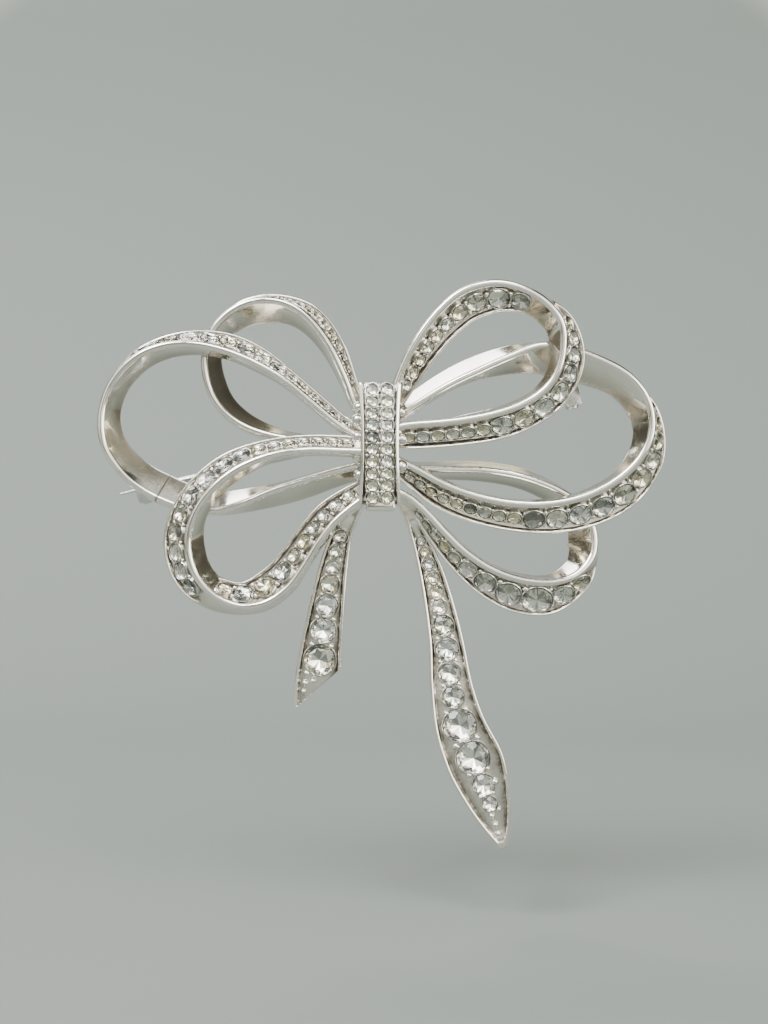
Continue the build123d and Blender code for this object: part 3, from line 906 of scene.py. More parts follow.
@dataclass
class StoneRow:
    """The stones of one band with their foils, collars and the grains between them."""

    node: str
    finishes: Finishes
    cut: StoneCut = field(default_factory=StoneCut)
    small: float = 1.1
    small_aged_share: float = 0.55
    large_aged_share: float = 0.25
    aged: tuple[float, float] = (0.45, 1.0)
    unaged: tuple[float, float] = (0.0, 0.3)
    grey_share: float = 0.06
    grey: tuple[float, float] = (0.5, 0.85)
    bright: tuple[float, float] = (0.0, 0.15)
    facet_tones: tuple[float, ...] = (0.0, 0.0, 0.3, 0.85)
    small_tone: float = 0.6
    collar_gap: float = 0.11
    collar_wall: float = 0.13
    collar_top: float = 0.10
    collar_foot: float = 0.55
    collar_round: float = 0.04
    collar_flare: float = 0.05
    spin_steps: int = 22
    grain_base: float = 0.06
    grain_share: float = 0.19
    grain_gap: float = 0.12
    grain_sink: float = 0.3
    neighbours: float = 1.5

    def scatter(
        self, piece: Piece, master: bpy.types.Mesh, stones: list[SetStone], seed: int
    ) -> None:
        """Put a copy of a mesh in every seat.

        Args:
            piece: The piece to fill.
            master: The mesh, of radius 1 and facing +Z.
            stones: The seats.
            seed: Seed of the turns and tints, the same for a stone's glass and foil.
        """
        mesh = piece.mesh
        tint = piece.mask("tint")
        dull = piece.mask("dull")
        draw = random.Random(seed)
        for stone in stones:
            before = len(mesh.verts)
            faces_before = len(mesh.faces)
            mesh.from_mesh(master)
            mesh.verts.ensure_lookup_table()
            mesh.faces.ensure_lookup_table()
            fresh = mesh.verts[before:]
            bmesh.ops.transform(mesh, matrix=stone.placement(draw.uniform(0.0, math.tau)), verts=fresh)
            stone.hold(fresh)
            small = stone.radius < self.small
            aged_share = self.small_aged_share if small else self.large_aged_share
            age = draw.uniform(*(self.aged if draw.random() < aged_share else self.unaged))
            grey = draw.uniform(*(self.grey if draw.random() < self.grey_share else self.bright))
            for vert in fresh:
                vert[tint] = age
            for face in mesh.faces[faces_before:]:
                tone = draw.choice(self.facet_tones) * (self.small_tone if small else 1.0)
                tone = min(grey + tone, 1.0)
                for vert in face.verts:
                    vert[dull] = tone

    def collars(self, piece: Piece, stones: list[SetStone]) -> None:
        """Put a thin wall round every stone, spun from its section."""
        mesh = piece.mesh
        recess = piece.mask("recess")
        edge = piece.mask("edge")
        soft = self.collar_round
        top = self.collar_top
        foot = -self.collar_foot
        for stone in stones:
            inside = stone.radius + self.collar_gap
            outside = inside + self.collar_wall
            section = (
                (inside, foot, 1.0, 0.0),
                (inside, top - soft, 1.0, 0.0),
                (inside + 0.75 * soft, top, 0.0, 1.0),
                (outside - soft, top, 0.0, 1.0),
                (outside, top - self.collar_flare, 0.2, 0.4),
                (outside + self.collar_flare, foot, 1.0, 0.0),
            )
            verts = []
            for across, height, low, worn in section:
                vert = bmesh.ops.create_vert(mesh, co=(across, 0.0, height))["vert"][0]
                vert[recess] = low
                vert[edge] = worn
                verts.append(vert)
            edges = [mesh.edges.new((a, b)) for a, b in zip(verts, verts[1:] + verts[:1])]
            before = set(mesh.verts) - set(verts)
            bmesh.ops.spin(
                mesh,
                geom=verts + edges,
                cent=(0.0, 0.0, 0.0),
                axis=(0.0, 0.0, 1.0),
                angle=math.tau,
                steps=self.spin_steps,
                use_merge=True,
            )
            fresh = [v for v in mesh.verts if v not in before]
            lean = stone.facing.to_track_quat("Z", "Y").to_matrix().to_4x4()
            bmesh.ops.transform(mesh, matrix=Matrix.Translation(stone.seat) @ lean, verts=fresh)
            stone.hold(fresh)

    def grains(self, piece: Piece, stones: list[SetStone]) -> None:
        """Raise a pair of round grains in the gaps between each two neighbours."""
        mesh = piece.mesh
        for first, second in zip(stones, stones[1:]):
            step = second.seat - first.seat
            reach = (first.radius + second.radius) / 2
            if step.length > 2 * reach * self.neighbours:
                continue
            facing = (first.facing + second.facing).normalized()
            across = facing.cross(step).normalized()
            grain = self.grain_base + self.grain_share * reach
            clear = reach + grain + self.grain_gap
            offset = math.sqrt(max(clear**2 - (step.length / 2) ** 2, 0.0))
            for side in (-1, 1):
                sink = facing * grain * self.grain_sink
                centre = (first.seat + second.seat) / 2 + across * side * offset - sink
                place = Matrix.Translation(centre)
                bmesh.ops.create_icosphere(mesh, subdivisions=2, radius=grain, matrix=place)

    def build(self, seed: int) -> list[SetStone]:
        """Build the row's pieces.

        Args:
            seed: Seed of the stones' turns and tints.

        Returns:
            The stones.
        """
        stones = read_stones(self.node)
        glass = Piece(self.node + "_glass", Body.BOW, Slot.STONE, (self.node,))
        self.scatter(glass, self.cut.glass(), stones, seed)
        glass.finish(self.finishes.glass, recalculate=False)
        foil = Piece(self.node + "_foils", Body.BOW, Slot.STONE)
        self.scatter(foil, self.cut.foil(), stones, seed)
        foil.finish(self.finishes.foil, recalculate=False)
        collar = Piece(self.node + "_collars", Body.BOW, Slot.RHODIUM)
        self.collars(collar, stones)
        collar.finish(self.finishes.beads)
        grain = Piece(self.node + "_grains", Body.BOW, Slot.RHODIUM)
        self.grains(grain, stones)
        made = grain.finish(self.finishes.beads)
        made.data.shade_smooth()
        return stones


# ---------------------------------------------------------------- the bow

# Stations of every arm, in millimetres: x and z of the rim, lift, and the back's outer and inner widths.
UPPER_LEFT = Route(
    (
        (-1.2, 2.0, 0.0, 1.0, 0.6),
        (-3.3, 3.8, 0.0, 1.2, 0.7),
        (-4.6, 7.2, 0.0, 1.4, 0.9),
        (-6.8, 11.9, 0.0, 1.9, 1.3),
        (-9.5, 15.5, -0.1, 2.0, 1.8),
        (-12.6, 17.6, -0.2, 1.3, 2.5),
        (-16.2, 18.1, -0.3, 0.9, 2.9),
        (-19.8, 16.9, -0.4, 0.8, 2.6),
        (-22.5, 14.2, -0.4, 0.7, 2.1),
        (-23.7, 10.6, -0.4, 0.7, 2.1),
        (-23.2, 6.6, -0.3, 0.7, 2.4),
        (-21.4, 3.4, -0.2, 0.7, 2.2),
        (-18.0, 0.9, -0.1, 0.7, 1.9),
        (-13.0, -0.5, 0.0, 0.7, 1.2),
        (-7.0, -1.0, 0.0, 0.8, 0.8),
        (-1.2, -1.4, 0.0, 0.8, 0.7),
    ),
    BACK_LAYER,
)
LEFT = Route(
    (
        (-1.2, -1.6, 0.0, 1.2, 0.6),
        (-5.2, 0.9, 0.0, 1.4, 0.7),
        (-9.3, 4.3, 0.0, 1.5, 0.7),
        (-12.6, 7.0, 0.0, 1.6, 0.8),
        (-16.4, 9.2, 0.0, 2.3, 0.9),
        (-20.5, 10.9, 0.0, 2.5, 0.9),
        (-24.6, 11.8, 0.0, 2.0, 1.2),
        (-28.8, 11.6, -0.1, 1.4, 1.6),
        (-32.6, 10.0, -0.3, 1.0, 1.9),
        (-35.6, 6.8, -0.5, 0.8, 2.0),
        (-37.0, 2.8, -0.4, 0.7, 2.2),
        (-36.7, -1.4, 0.0, 0.7, 2.7),
        (-34.8, -4.6, 0.0, 0.8, 3.0),
        (-32.4, -6.9, 0.0, 0.8, 3.2),
        (-29.6, -8.6, 0.0, 0.8, 3.4),
        (-26.0, -9.9, 0.0, 0.7, 3.2),
        (-21.8, -10.3, 0.0, 0.7, 2.8),
        (-18.2, -9.3, 0.0, 1.3, 2.0),
        (-14.6, -7.8, 0.0, 2.1, 1.1),
        (-10.6, -6.5, 0.0, 2.3, 0.8),
        (-6.2, -5.2, 0.0, 2.0, 0.7),
        (-1.2, -3.9, 0.0, 1.7, 0.6),
    ),
    MIDDLE_LAYER,
)
LOWER_LEFT = Route(
    (
        (-1.2, -2.6, -0.1, 1.8, 0.6),
        (-4.4, -2.5, -0.1, 2.0, 0.7),
        (-9.6, -2.4, 0.0, 2.0, 0.7),
        (-14.6, -3.2, 0.0, 2.2, 0.9),
        (-19.0, -5.1, 0.0, 2.7, 1.2),
        (-22.4, -8.0, 0.0, 3.0, 1.2),
        (-24.5, -11.4, -0.1, 3.3, 1.5),
        (-25.1, -15.0, -0.1, 3.4, 2.0),
        (-24.1, -18.6, 0.0, 3.1, 2.1),
        (-21.7, -21.3, 0.0, 2.3, 2.3),
        (-18.4, -22.8, 0.0, 1.3, 3.1),
        (-15.0, -22.4, 0.0, 1.1, 3.8),
        (-12.0, -20.4, 0.0, 0.9, 3.9),
        (-9.9, -17.6, 0.0, 0.7, 3.6),
        (-7.9, -14.4, 0.0, 0.7, 3.3),
        (-5.4, -11.3, -0.1, 0.7, 3.0),
        (-1.2, -8.0, -0.1, 0.7, 2.2),
    ),
    FRONT_LAYER,
)
UPPER_RIGHT = Route(
    (
        (1.2, 0.4, -0.1, 2.4, 0.6),
        (4.0, 0.9, -0.1, 3.0, 0.7),
        (9.9, 1.4, 0.0, 3.1, 0.7),
        (15.6, 2.5, 0.0, 3.3, 0.9),
        (20.0, 4.3, 0.0, 3.2, 1.1),
        (22.8, 7.0, 0.0, 3.2, 1.2),
        (23.9, 10.6, 0.0, 3.1, 1.5),
        (23.7, 14.2, 0.1, 2.0, 2.0),
        (21.6, 17.0, 0.2, 1.1, 2.4),
        (18.4, 18.8, 0.2, 0.7, 2.9),
        (14.6, 19.4, 0.2, 0.7, 3.6),
        (10.6, 18.2, 0.1, 0.7, 3.8),
        (7.2, 15.2, 0.0, 0.7, 3.6),
        (4.5, 11.4, 0.0, 0.7, 3.2),
        (2.6, 7.4, -0.1, 0.7, 2.5),
        (1.5, 4.0, -0.1, 0.6, 1.6),
    ),
    FRONT_LAYER,
)
RIGHT = Route(
    (
        (1.2, -3.0, 0.0, 1.8, 0.6),
        (4.9, -4.8, 0.0, 2.4, 0.7),
        (8.4, -6.7, 0.0, 3.1, 0.7),
        (12.6, -8.3, 0.0, 3.4, 0.7),
        (17.4, -9.3, 0.0, 3.6, 0.7),
        (22.4, -9.4, 0.0, 3.9, 0.7),
        (27.2, -8.4, 0.0, 4.2, 0.8),
        (31.6, -6.2, 0.0, 4.2, 1.0),
        (34.8, -3.0, -0.1, 3.4, 1.6),
        (36.2, 0.8, -0.3, 1.9, 2.3),
        (35.4, 4.8, -0.3, 0.9, 3.0),
        (32.6, 8.0, 0.0, 0.7, 3.3),
        (28.6, 10.1, 0.0, 0.7, 3.8),
        (24.6, 11.4, 0.0, 0.7, 4.1),
        (21.2, 11.6, 0.0, 0.8, 3.8),
        (17.4, 10.2, 0.0, 1.7, 2.3),
        (13.4, 8.4, 0.0, 2.3, 1.1),
        (9.6, 6.6, 0.0, 2.2, 0.7),
        (5.8, 4.4, 0.0, 1.9, 0.7),
        (1.2, 1.4, 0.0, 1.5, 0.6),
    ),
    MIDDLE_LAYER,
)
LOWER_RIGHT = Route(
    (
        (1.2, -7.4, 2.5, 0.8, 0.5),
        (3.6, -8.3, 2.5, 1.1, 0.5),
        (5.9, -10.2, 2.5, 1.6, 0.5),
        (8.5, -13.0, 2.5, 2.2, 0.7),
        (11.4, -15.8, 2.5, 2.8, 0.7),
        (14.9, -18.1, 2.4, 3.7, 0.7),
        (18.8, -19.5, 2.2, 4.5, 0.8),
        (22.8, -19.9, 1.8, 4.4, 1.0),
        (26.3, -18.9, 1.0, 2.8, 2.0),
        (28.6, -16.4, 0.3, 1.2, 3.3),
        (28.8, -13.0, -0.1, 0.7, 3.2),
        (27.0, -9.6, -0.1, 0.7, 2.6),
        (23.4, -7.2, 0.0, 0.9, 2.0),
        (18.8, -5.6, 0.0, 1.3, 1.6),
        (13.6, -4.8, 0.0, 1.3, 1.5),
        (8.0, -4.7, 0.0, 1.2, 1.3),
        (1.2, -4.6, 0.0, 0.9, 0.8),
    ),
    BACK_LAYER,
)
LEFT_TAIL = Route(
    (
        (-1.4, -7.6, 1.7, 1.0, 0.9),
        (-3.3, -9.8, 1.7, 1.2, 1.1),
        (-5.1, -13.4, 1.7, 1.5, 1.5),
        (-6.3, -18.2, 1.9, 2.0, 2.0),
        (-7.1, -23.2, 2.1, 2.4, 2.4),
        (-7.8, -28.2, 2.2, 2.8, 2.8),
        (-8.3, -33.2, 2.2, 3.1, 3.1),
        (-8.5, -38.6, 2.0, 3.1, 3.1),
    ),
    BACK_LAYER,
)
RIGHT_TAIL = Route(
    (
        (1.4, -7.4, -1.1, 0.8, 0.8),
        (3.3, -9.6, -1.1, 0.9, 0.9),
        (4.9, -12.8, -1.1, 1.1, 1.1),
        (6.5, -17.2, -0.9, 1.6, 1.6),
        (7.8, -22.2, -0.4, 2.0, 2.0),
        (8.9, -28.0, 0.4, 2.4, 2.4),
        (9.6, -34.0, 1.0, 2.9, 2.9),
        (10.8, -39.4, 1.4, 3.5, 3.5),
        (12.9, -44.4, 1.5, 3.9, 3.9),
        (14.6, -49.2, 1.4, 3.0, 3.0),
        (15.8, -52.8, 1.2, 1.8, 1.8),
        (16.5, -55.6, 1.0, 0.5, 0.5),
    ),
    BACK_LAYER,
)


@dataclass(frozen=True)
class LoopPlan:
    """One loop: its way, its channels and where its return butts on."""

    name: str
    route: Route
    channels: tuple[Channel, ...]
    seam: int | None = None


LOOPS = (
    LoopPlan("upper_left", UPPER_LEFT, (Channel(Side.OUTER, 1.6, 6.9),)),
    LoopPlan("left", LEFT, (Channel(Side.OUTER, 0.6, 8.3),), 14),
    LoopPlan("lower_left", LOWER_LEFT, (Channel(Side.OUTER, 0.7, 8.7), Channel(Side.INNER, 8.9, 15.9))),
    LoopPlan("upper_right", UPPER_RIGHT, (Channel(Side.OUTER, 0.6, 7.6), Channel(Side.INNER, 8.5, 14.9))),
    LoopPlan("right", RIGHT, (Channel(Side.OUTER, 0.6, 9.9),), 13),
    LoopPlan("lower_right", LOWER_RIGHT, (Channel(Side.OUTER, 1.7, 8.6),), 11),
)


@dataclass
class Loop:
    """One loop of the bow: its band in one piece or two, and its stones."""

    plan: LoopPlan
    finishes: Finishes

    def build(self, seed: int) -> None:
        """Build the band and its stones.

        Args:
            seed: Seed of the stones' turns and tints.
        """
        plan = self.plan
        node = "loop_" + plan.name
        last = plan.route.last
        spans = [(node, 0.0, float(plan.seam or last))]
        if plan.seam:
            spans.append((node + "_return", float(plan.seam), last))
        for name, first, end in spans:
            piece = Piece(name + "_band", Body.BOW, Slot.RHODIUM, (name,))
            Band(name, plan.route, plan.channels).sweep(piece, first, end)
            piece.finish(self.finishes.plate, levels=2)
        StoneRow("stones_" + plan.name, self.finishes).build(seed)


@dataclass
class Tail:
    """One tail of the bow, with its stones."""

    name: str
    route: Route
    channel: Channel
    finishes: Finishes
    cut: tuple[tuple[float, float], tuple[float, float]] | None = None

    def build(self, seed: int) -> None:
        """Build the tail and its stones.

        Args:
            seed: Seed of the stones' turns and tints.
        """
        piece = Piece("tail_" + self.name + "_bar", Body.BOW, Slot.RHODIUM, ("tail_" + self.name,))
        TailBar(self.name, self.route, (self.channel,)).sweep(piece, 0.0, self.route.last)
        if self.cut:
            self.slant(piece.mesh)
        piece.finish(self.finishes.plate, levels=2)
        StoneRow("stones_tail_" + self.name, self.finishes).build(seed)

    def slant(self, mesh: bmesh.types.BMesh) -> None:
        """Cut the tail off along its slanting end and close it."""
        lip = 0.12
        (x0, z0), (x1, z1) = self.cut
        run = Vector((x1 - x0, 0.0, z1 - z0)).normalized()
        away = Vector((run.z, 0.0, -run.x))
        if away.z > 0:
            away = -away
        for shift in (-lip, 0.0):
            geometry = [*mesh.verts, *mesh.edges, *mesh.faces]
            at = Vector((x0, 0.0, z0)) + away * shift
            cut = bmesh.ops.bisect_plane(
                mesh, geom=geometry, dist=0.0001, plane_co=at, plane_no=away, clear_outer=shift == 0.0
            )
        bmesh.ops.contextual_create(mesh, geom=kept(cut["geom_cut"], bmesh.types.BMEdge))


@dataclass(frozen=True)
class Beads:
    """Small balls on the metal; each place is x, lift, z and radius."""

    name: str
    places: tuple[tuple[float, float, float, float], ...]

    def build(self, finishes: Finishes) -> None:
        """Build the balls."""
        piece = Piece(self.name, Body.BOW, Slot.RHODIUM)
        for x, lift, z, radius in self.places:
            place = Matrix.Translation(point(x, lift, z))
            bmesh.ops.create_icosphere(piece.mesh, subdivisions=3, radius=radius, matrix=place)
        piece.finish(finishes.beads).data.shade_smooth()


TIP_BEADS = (
    Beads(
        "tail_left_tip_beads",
        (
            (-9.75, 8.1, -32.0, 0.46),
            (-8.35, 8.1, -31.9, 0.50),
            (-9.95, 8.1, -33.3, 0.42),
            (-8.95, 8.1, -33.0, 0.36),
            (-10.2, 8.1, -34.4, 0.32),
        ),
    ),
    Beads(
        "tail_right_tip_beads",
        (
            (15.4, 7.35, -46.6, 0.50),
            (15.0, 7.35, -51.2, 0.42),
            (15.9, 7.3, -50.3, 0.36),
            (15.5, 7.25, -52.4, 0.40),
            (15.9, 7.15, -53.6, 0.30),
        ),
    ),
)
SOLDER = Beads(
    "knot_solder",
    (
        (-2.9, 12.3, 1.6, 0.85),
        (-2.9, 12.6, -0.6, 0.75),
        (-2.8, 11.9, -3.3, 0.95),
        (-2.7, 11.2, -5.6, 0.80),
        (2.8, 12.4, 2.6, 0.75),
        (2.9, 11.8, -0.9, 0.80),
        (2.8, 10.6, -4.4, 0.90),
        (-2.8, 9.4, 3.4, 0.85),
    ),
)


# ---------------------------------------------------------------- the knot


@dataclass
class KnotRow(StoneRow):
    """The knot's two columns of stones."""

    def grains(self, piece: Piece, stones: list[SetStone]) -> None:
        """Raise grains on both sides of each column."""
        for side in (-1, 1):
            column = [s for s in stones if s.seat.x * side > 0]
            super().grains(piece, sorted(column, key=lambda s: s.seat.z))


@dataclass
class KnotShell:
    """The strap over the middle of the bow, domed both ways, with a raised rim down each side."""

    finishes: Finishes
    front: float = FRONT_LAYER + 0.1
    top: float = 6.4
    bottom: float = -9.5
    half_width: float = 2.8
    waist: float = 0.35
    crown: float = 1.7
    edge_rise: float = 0.6
    floor: float = 0.38
    rim_height: float = 0.10
    rim_share: float = 0.80
    rim_soft: float = 0.06
    rim_flat: float = 0.45
    worn_from: float = 0.84
    lips: tuple[float, ...] = (0.12, 0.24)
    back: float = 0.5
    across: tuple[float, ...] = (0.0, 0.3, 0.6, 0.70, 0.76, 0.80, 0.84, 0.88, 0.94, 0.975, 1.0)
    rows: int = 24

    def lift(self, u: float, v: float, half: float) -> float:
        """Lift of the face.

        Args:
            u: Across, −1 to 1.
            v: Along, −1 to 1.
            half: Half width here.

        Returns:
            The lift.
        """
        rise = self.crown - self.edge_rise
        length = (self.top - self.bottom) / 2
        dome = (length**2 + rise**2) / (2 * rise)
        side_dome = (self.half_width**2 + rise**2) / (2 * rise)
        drop = dome - math.sqrt(dome**2 - (v * length) ** 2)
        drop += side_dome - math.sqrt(side_dome**2 - (u * half) ** 2)
        rim = smoothstep((abs(u) - self.rim_share) / self.rim_soft + 0.5)
        face = self.front + self.crown - drop * (1 - self.rim_flat * rim)
        return face - self.floor * (1 - rim) + self.rim_height * rim

    def build(self, seed: int) -> None:
        """Build the strap and its stones.

        Args:
            seed: Seed of the stones' turns and tints.
        """
        piece = Piece("knot_shell_strap", Body.BOW, Slot.KNOT, ("knot_shell",))
        mesh = piece.mesh
        recess = piece.mask("recess")
        edge = piece.mask("edge")
        columns = 2 * (len(self.across) - 1)
        bmesh.ops.create_grid(mesh, x_segments=columns, y_segments=self.rows, size=1.0)
        for vert in mesh.verts:
            column = round((vert.co.x + 1) / 2 * columns) - columns // 2
            u = math.copysign(self.across[abs(column)], column) if column else 0.0
            v = vert.co.y
            half = self.half_width - self.waist * (1 - v * v)
            z = (self.top + self.bottom) / 2 + v * (self.top - self.bottom) / 2
            vert.co = point(u * half, self.lift(u, v, half), z)
            vert[recess] = 1.0 if abs(u) < self.rim_share else 0.0
            vert[edge] = 1.0 if self.worn_from < abs(u) < 1.0 else 0.0
        border = [e for e in mesh.edges if e.is_boundary]
        for depth in (*self.lips, None):
            grown = bmesh.ops.extrude_edge_only(mesh, edges=border)["geom"]
            border = [e for e in kept(grown, bmesh.types.BMEdge) if e.is_boundary]
            for vert in kept(grown, bmesh.types.BMVert):
                vert.co.y = vert.co.y + depth if depth else -(self.front - self.back)
                vert[recess] = 0.0
        bmesh.ops.contextual_create(mesh, geom=border)
        piece.finish(self.finishes.knot, levels=1)
        KnotRow("stones_knot", self.finishes, grain_share=0.20).build(seed)


# ---------------------------------------------------------------- plain pieces and fittings


@dataclass(frozen=True)
class PlainPiece:
    """A piece shown as it is in CAD, with its sharp edges rounded."""

    node: str
    body: Body
    slot: Slot
    bevel: float

    def build(self, material: bpy.types.Material) -> None:
        """Copy, clean and round the piece.

        Args:
            material: Its finish.
        """
        weld = 0.003
        flat = math.radians(1.0)
        piece = Piece(self.node + "_soft", self.body, self.slot, (self.node,))
        mesh = piece.mesh
        mesh.from_mesh(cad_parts[self.node].data)
        bmesh.ops.scale(mesh, vec=(1 / MM, 1 / MM, 1 / MM), verts=mesh.verts)
        bmesh.ops.remove_doubles(mesh, verts=mesh.verts, dist=weld)
        bmesh.ops.dissolve_limit(mesh, angle_limit=flat, verts=mesh.verts, edges=mesh.edges)
        made = piece.finish(material, bevel=self.bevel)
        made.modifiers["rounding"].harden_normals = True


@dataclass
class KnotLip:
    """The plain polished end of the strap that shows below the knot's stones."""

    finishes: Finishes
    middle: tuple[float, float, float] = (0.1, 12.7, -9.65)
    size: tuple[float, float, float] = (3.9, 2.4, 1.5)
    rounding: float = 0.35

    def build(self) -> None:
        """Build it as a cushion from a cube."""
        piece = Piece("knot_lip", Body.BOW, Slot.KNOT)
        mesh = piece.mesh
        place = Matrix.Translation(point(*self.middle)) @ Matrix.Diagonal((*self.size, 1.0))
        bmesh.ops.create_cube(mesh, size=1.0, matrix=place)
        edges = list(mesh.edges)
        bmesh.ops.bevel(
            mesh, geom=edges, affect="EDGES", offset=self.rounding, segments=2, profile=0.5, material=-1
        )
        piece.finish(self.finishes.plate, levels=2)


PLAIN_METAL = (
    PlainPiece("knot_core", Body.BOW, Slot.KNOT, 0.15),
    PlainPiece("knot_back_strap", Body.BOW, Slot.KNOT, 0.12),
)
FITTINGS = (
    PlainPiece("hinge_bracket", Body.BOW, Slot.FITTINGS, 0.08),
    PlainPiece("hinge_rivet", Body.BOW, Slot.FITTINGS, 0.06),
    PlainPiece("catch_body", Body.BOW, Slot.FITTINGS, 0.08),
    PlainPiece("catch_rotor", Body.ROTOR, Slot.FITTINGS, 0.06),
)
PIN = PlainPiece("pin_stem", Body.PIN, Slot.WIRE, 0.05)


# ---------------------------------------------------------------- stage


@dataclass(frozen=True)
class Lamp:
    """A soft square light that looks at the brooch: metres and watts; warm is its lean to yellow."""

    name: str
    place: tuple[float, float, float]
    size: float
    power: float
    warm: float = 0.0

    def hang(self) -> None:
        """Hang it in the studio."""
        data = bpy.data.lights.new(self.name, "AREA")
        data.shape = "SQUARE"
        data.size = self.size
        data.energy = self.power
        data.color = (1.0, 1.0 - 0.08 * self.warm, 1.0 - 0.22 * self.warm)
        made = put_in_scene(self.name, data)
        made.location = self.place
        made.rotation_euler = (-Vector(self.place)).to_track_quat("-Z", "Y").to_euler()


LAMPS = (
    Lamp("key", (-0.35, -0.45, 0.55), 0.35, 9.0),
    Lamp("fill", (0.55, -0.40, 0.10), 0.45, 4.0, warm=0.5),
    Lamp("top", (0.05, -0.50, 0.50), 0.30, 3.0),
    Lamp("back", (-0.25, 0.38, 0.45), 0.40, 4.0),
)


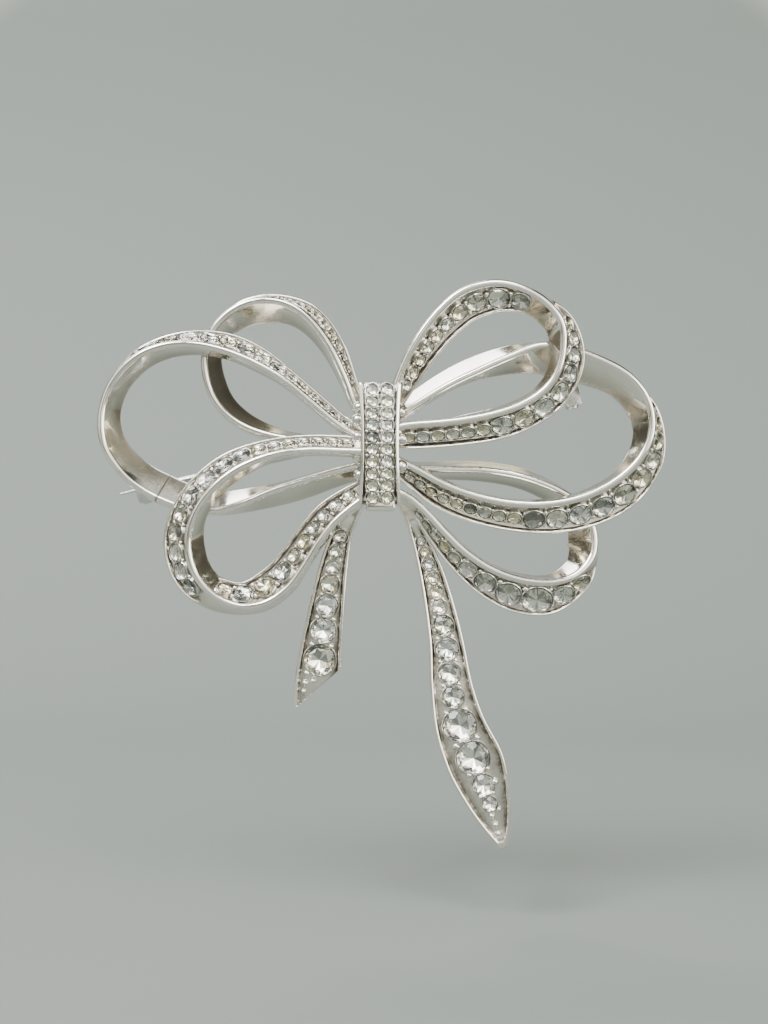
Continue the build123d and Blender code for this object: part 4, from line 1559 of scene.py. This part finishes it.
@dataclass
class Studio:
    """The floor and wall, the lights, the sky and the camera. Lengths are in millimetres."""

    floor_z: float = -66.0
    wall_y: float = 430.0
    bend: float = 250.0
    bend_steps: int = 24
    half_width: float = 2200.0
    front_y: float = -2200.0
    height: float = 1800.0
    weld: float = 0.01
    paint: Colour = (0.185, 0.208, 0.192, 1.0)
    # Painted light on the wall: a cream band of painted light for the metal to reflect, and painted shade
    # beyond it.
    side_painted_light: Colour = (0.66, 0.62, 0.46, 1.0)
    far_painted_shade: Colour = (0.06, 0.055, 0.04, 1.0)
    wall_from: tuple[float, float] = (0.1, 0.3)
    side_from: tuple[float, float] = (0.49, 0.51)
    far_from: tuple[float, float] = (0.535, 0.56)
    camera_place: tuple[float, float, float] = (0.55, -230.0, -10.46)
    lens: float = 58.4
    sensor: float = 36.0

    def backdrop(self) -> None:
        """A pale floor that sweeps up into a wall behind the brooch."""
        mesh = bmesh.new()
        foot_y = self.wall_y - self.bend
        bmesh.ops.create_vert(mesh, co=(-self.half_width, self.front_y, self.floor_z))
        start = bmesh.ops.create_vert(mesh, co=(-self.half_width, foot_y, self.floor_z))["vert"]
        mesh.verts.ensure_lookup_table()
        mesh.edges.new((mesh.verts[0], mesh.verts[1]))
        bend = bmesh.ops.spin(
            mesh,
            geom=start,
            cent=(0.0, foot_y, self.floor_z + self.bend),
            axis=(1.0, 0.0, 0.0),
            angle=math.pi / 2,
            steps=self.bend_steps,
        )
        top = kept(bend["geom_last"], bmesh.types.BMVert)
        for vert in bmesh.ops.extrude_vert_indiv(mesh, verts=top)["verts"]:
            vert.co.z = self.height
        wide = bmesh.ops.extrude_edge_only(mesh, edges=list(mesh.edges))["geom"]
        for vert in kept(wide, bmesh.types.BMVert):
            vert.co.x = self.half_width
        bmesh.ops.remove_doubles(mesh, verts=mesh.verts, dist=self.weld)
        bmesh.ops.recalc_face_normals(mesh, faces=mesh.faces)
        bmesh.ops.scale(mesh, vec=(MM, MM, MM), verts=mesh.verts)
        data = bpy.data.meshes.new("backdrop")
        mesh.to_mesh(data)
        mesh.free()
        data.shade_smooth()
        data.materials.append(self.backdrop_paint_and_painted_light())
        put_in_scene("backdrop", data)

    def backdrop_paint_and_painted_light(self) -> bpy.types.Material:
        """The backdrop's material: plain paint behind the brooch, a cream band of painted light on the wall
        beside it for the metal to reflect, and painted shade on the wall beyond.
        """
        material, made = new_material("backdrop_paint_and_painted_light")
        place = made.place()
        away = made.add("VectorMath", operation="LENGTH")
        made.feed(away.inputs[0], place)
        parts = made.add("SeparateXYZ", Vector=place)
        wall = made.ramp(parts.outputs["Y"], *self.wall_from)
        beside = made.times(made.ramp(away.outputs["Value"], *self.side_from), wall)
        beyond = made.times(made.ramp(away.outputs["Value"], *self.far_from), wall)
        # Cream band of painted light beside the brooch and painted shade beyond it, both only on the wall.
        colour = made.blend(beyond, made.blend(beside, self.paint, self.side_painted_light), self.far_painted_shade)
        made.show(made.add("BsdfPrincipled", Roughness=0.9, Base_Color=colour))
        return material

    def sky(self) -> None:
        """A room seen only in reflections: bright above, warm and dark below, with soft patches."""
        stops = (
            (0.0, (0.10, 0.07, 0.05, 1.0)),
            (0.40, (0.22, 0.17, 0.13, 1.0)),
            (0.5, (0.40, 0.39, 0.34, 1.0)),
            (0.64, (0.75, 0.75, 0.70, 1.0)),
            (1.0, (1.00, 1.00, 0.97, 1.0)),
        )
        world = bpy.data.worlds.new("room")
        bpy.context.scene.world = world
        world.use_nodes = True
        made = NodeTree(world.node_tree)
        where = made.add("TexCoord").outputs["Generated"]
        parts = made.add("SeparateXYZ", Vector=where)
        ahead = made.ramp(made.times(parts.outputs["Y"], -1.0), 0.15, 0.85)
        colour = made.add("ValToRGB", Fac=made.ramp(parts.outputs["Z"], -1.0, 1.0))
        ramp = colour.color_ramp
        for number, (place, shade) in enumerate(stops):
            stop = ramp.elements[number] if number < 2 else ramp.elements.new(place)
            stop.position = place
            stop.color = shade
        noise = made.add("TexNoise", Vector=where, Scale=2.2, Detail=1.0)
        patches = made.plus(made.times(made.ramp(noise.outputs["Fac"], 0.44, 0.56), 1.6), 0.06)
        level = made.plus(made.times(ahead, 0.9), 0.55)
        strength = made.plus(made.times(patches, level), made.times(ahead, 0.55))
        back = made.add("Background", Color=colour.outputs["Color"], Strength=strength)
        made.show(back, "OutputWorld")

    def camera(self) -> None:
        """Look at the brooch's front, square on."""
        data = bpy.data.cameras.new("camera")
        data.lens = self.lens
        data.sensor_width = self.sensor
        data.sensor_height = self.sensor
        data.sensor_fit = "VERTICAL"
        data.clip_start = 0.01
        made = put_in_scene("camera", data)
        made.location = Vector(self.camera_place) * MM
        made.rotation_euler = (math.pi / 2, 0.0, 0.0)
        bpy.context.scene.camera = made

    def build(self) -> None:
        """Set the whole stage."""
        self.backdrop()
        for lamp in LAMPS:
            lamp.hang()
        self.sky()
        self.camera()


def main() -> None:
    """Build the brooch and its stage, in order."""
    logging.basicConfig(level=logging.INFO, format="%(name)s: %(message)s")
    finishes = Finishes()
    for number, plan in enumerate(LOOPS):
        Loop(plan, finishes).build(seed=number + 1)
    slant = ((-5.0, -31.2), (-11.6, -36.9))
    Tail("left", LEFT_TAIL, Channel(Side.OUTER, 1.7, 6.8), finishes, slant).build(seed=11)
    Tail("right", RIGHT_TAIL, Channel(Side.OUTER, 2.0, 10.4), finishes).build(seed=12)
    for beads in (*TIP_BEADS, SOLDER):
        beads.build(finishes)
    KnotShell(finishes).build(seed=13)
    KnotLip(finishes).build()
    for plain in PLAIN_METAL:
        plain.build(finishes.knot)
    for plain in FITTINGS:
        plain.build(finishes.fittings)
    PIN.build(finishes.wire)
    Studio().build()


if __name__ == "__main__":
    main()
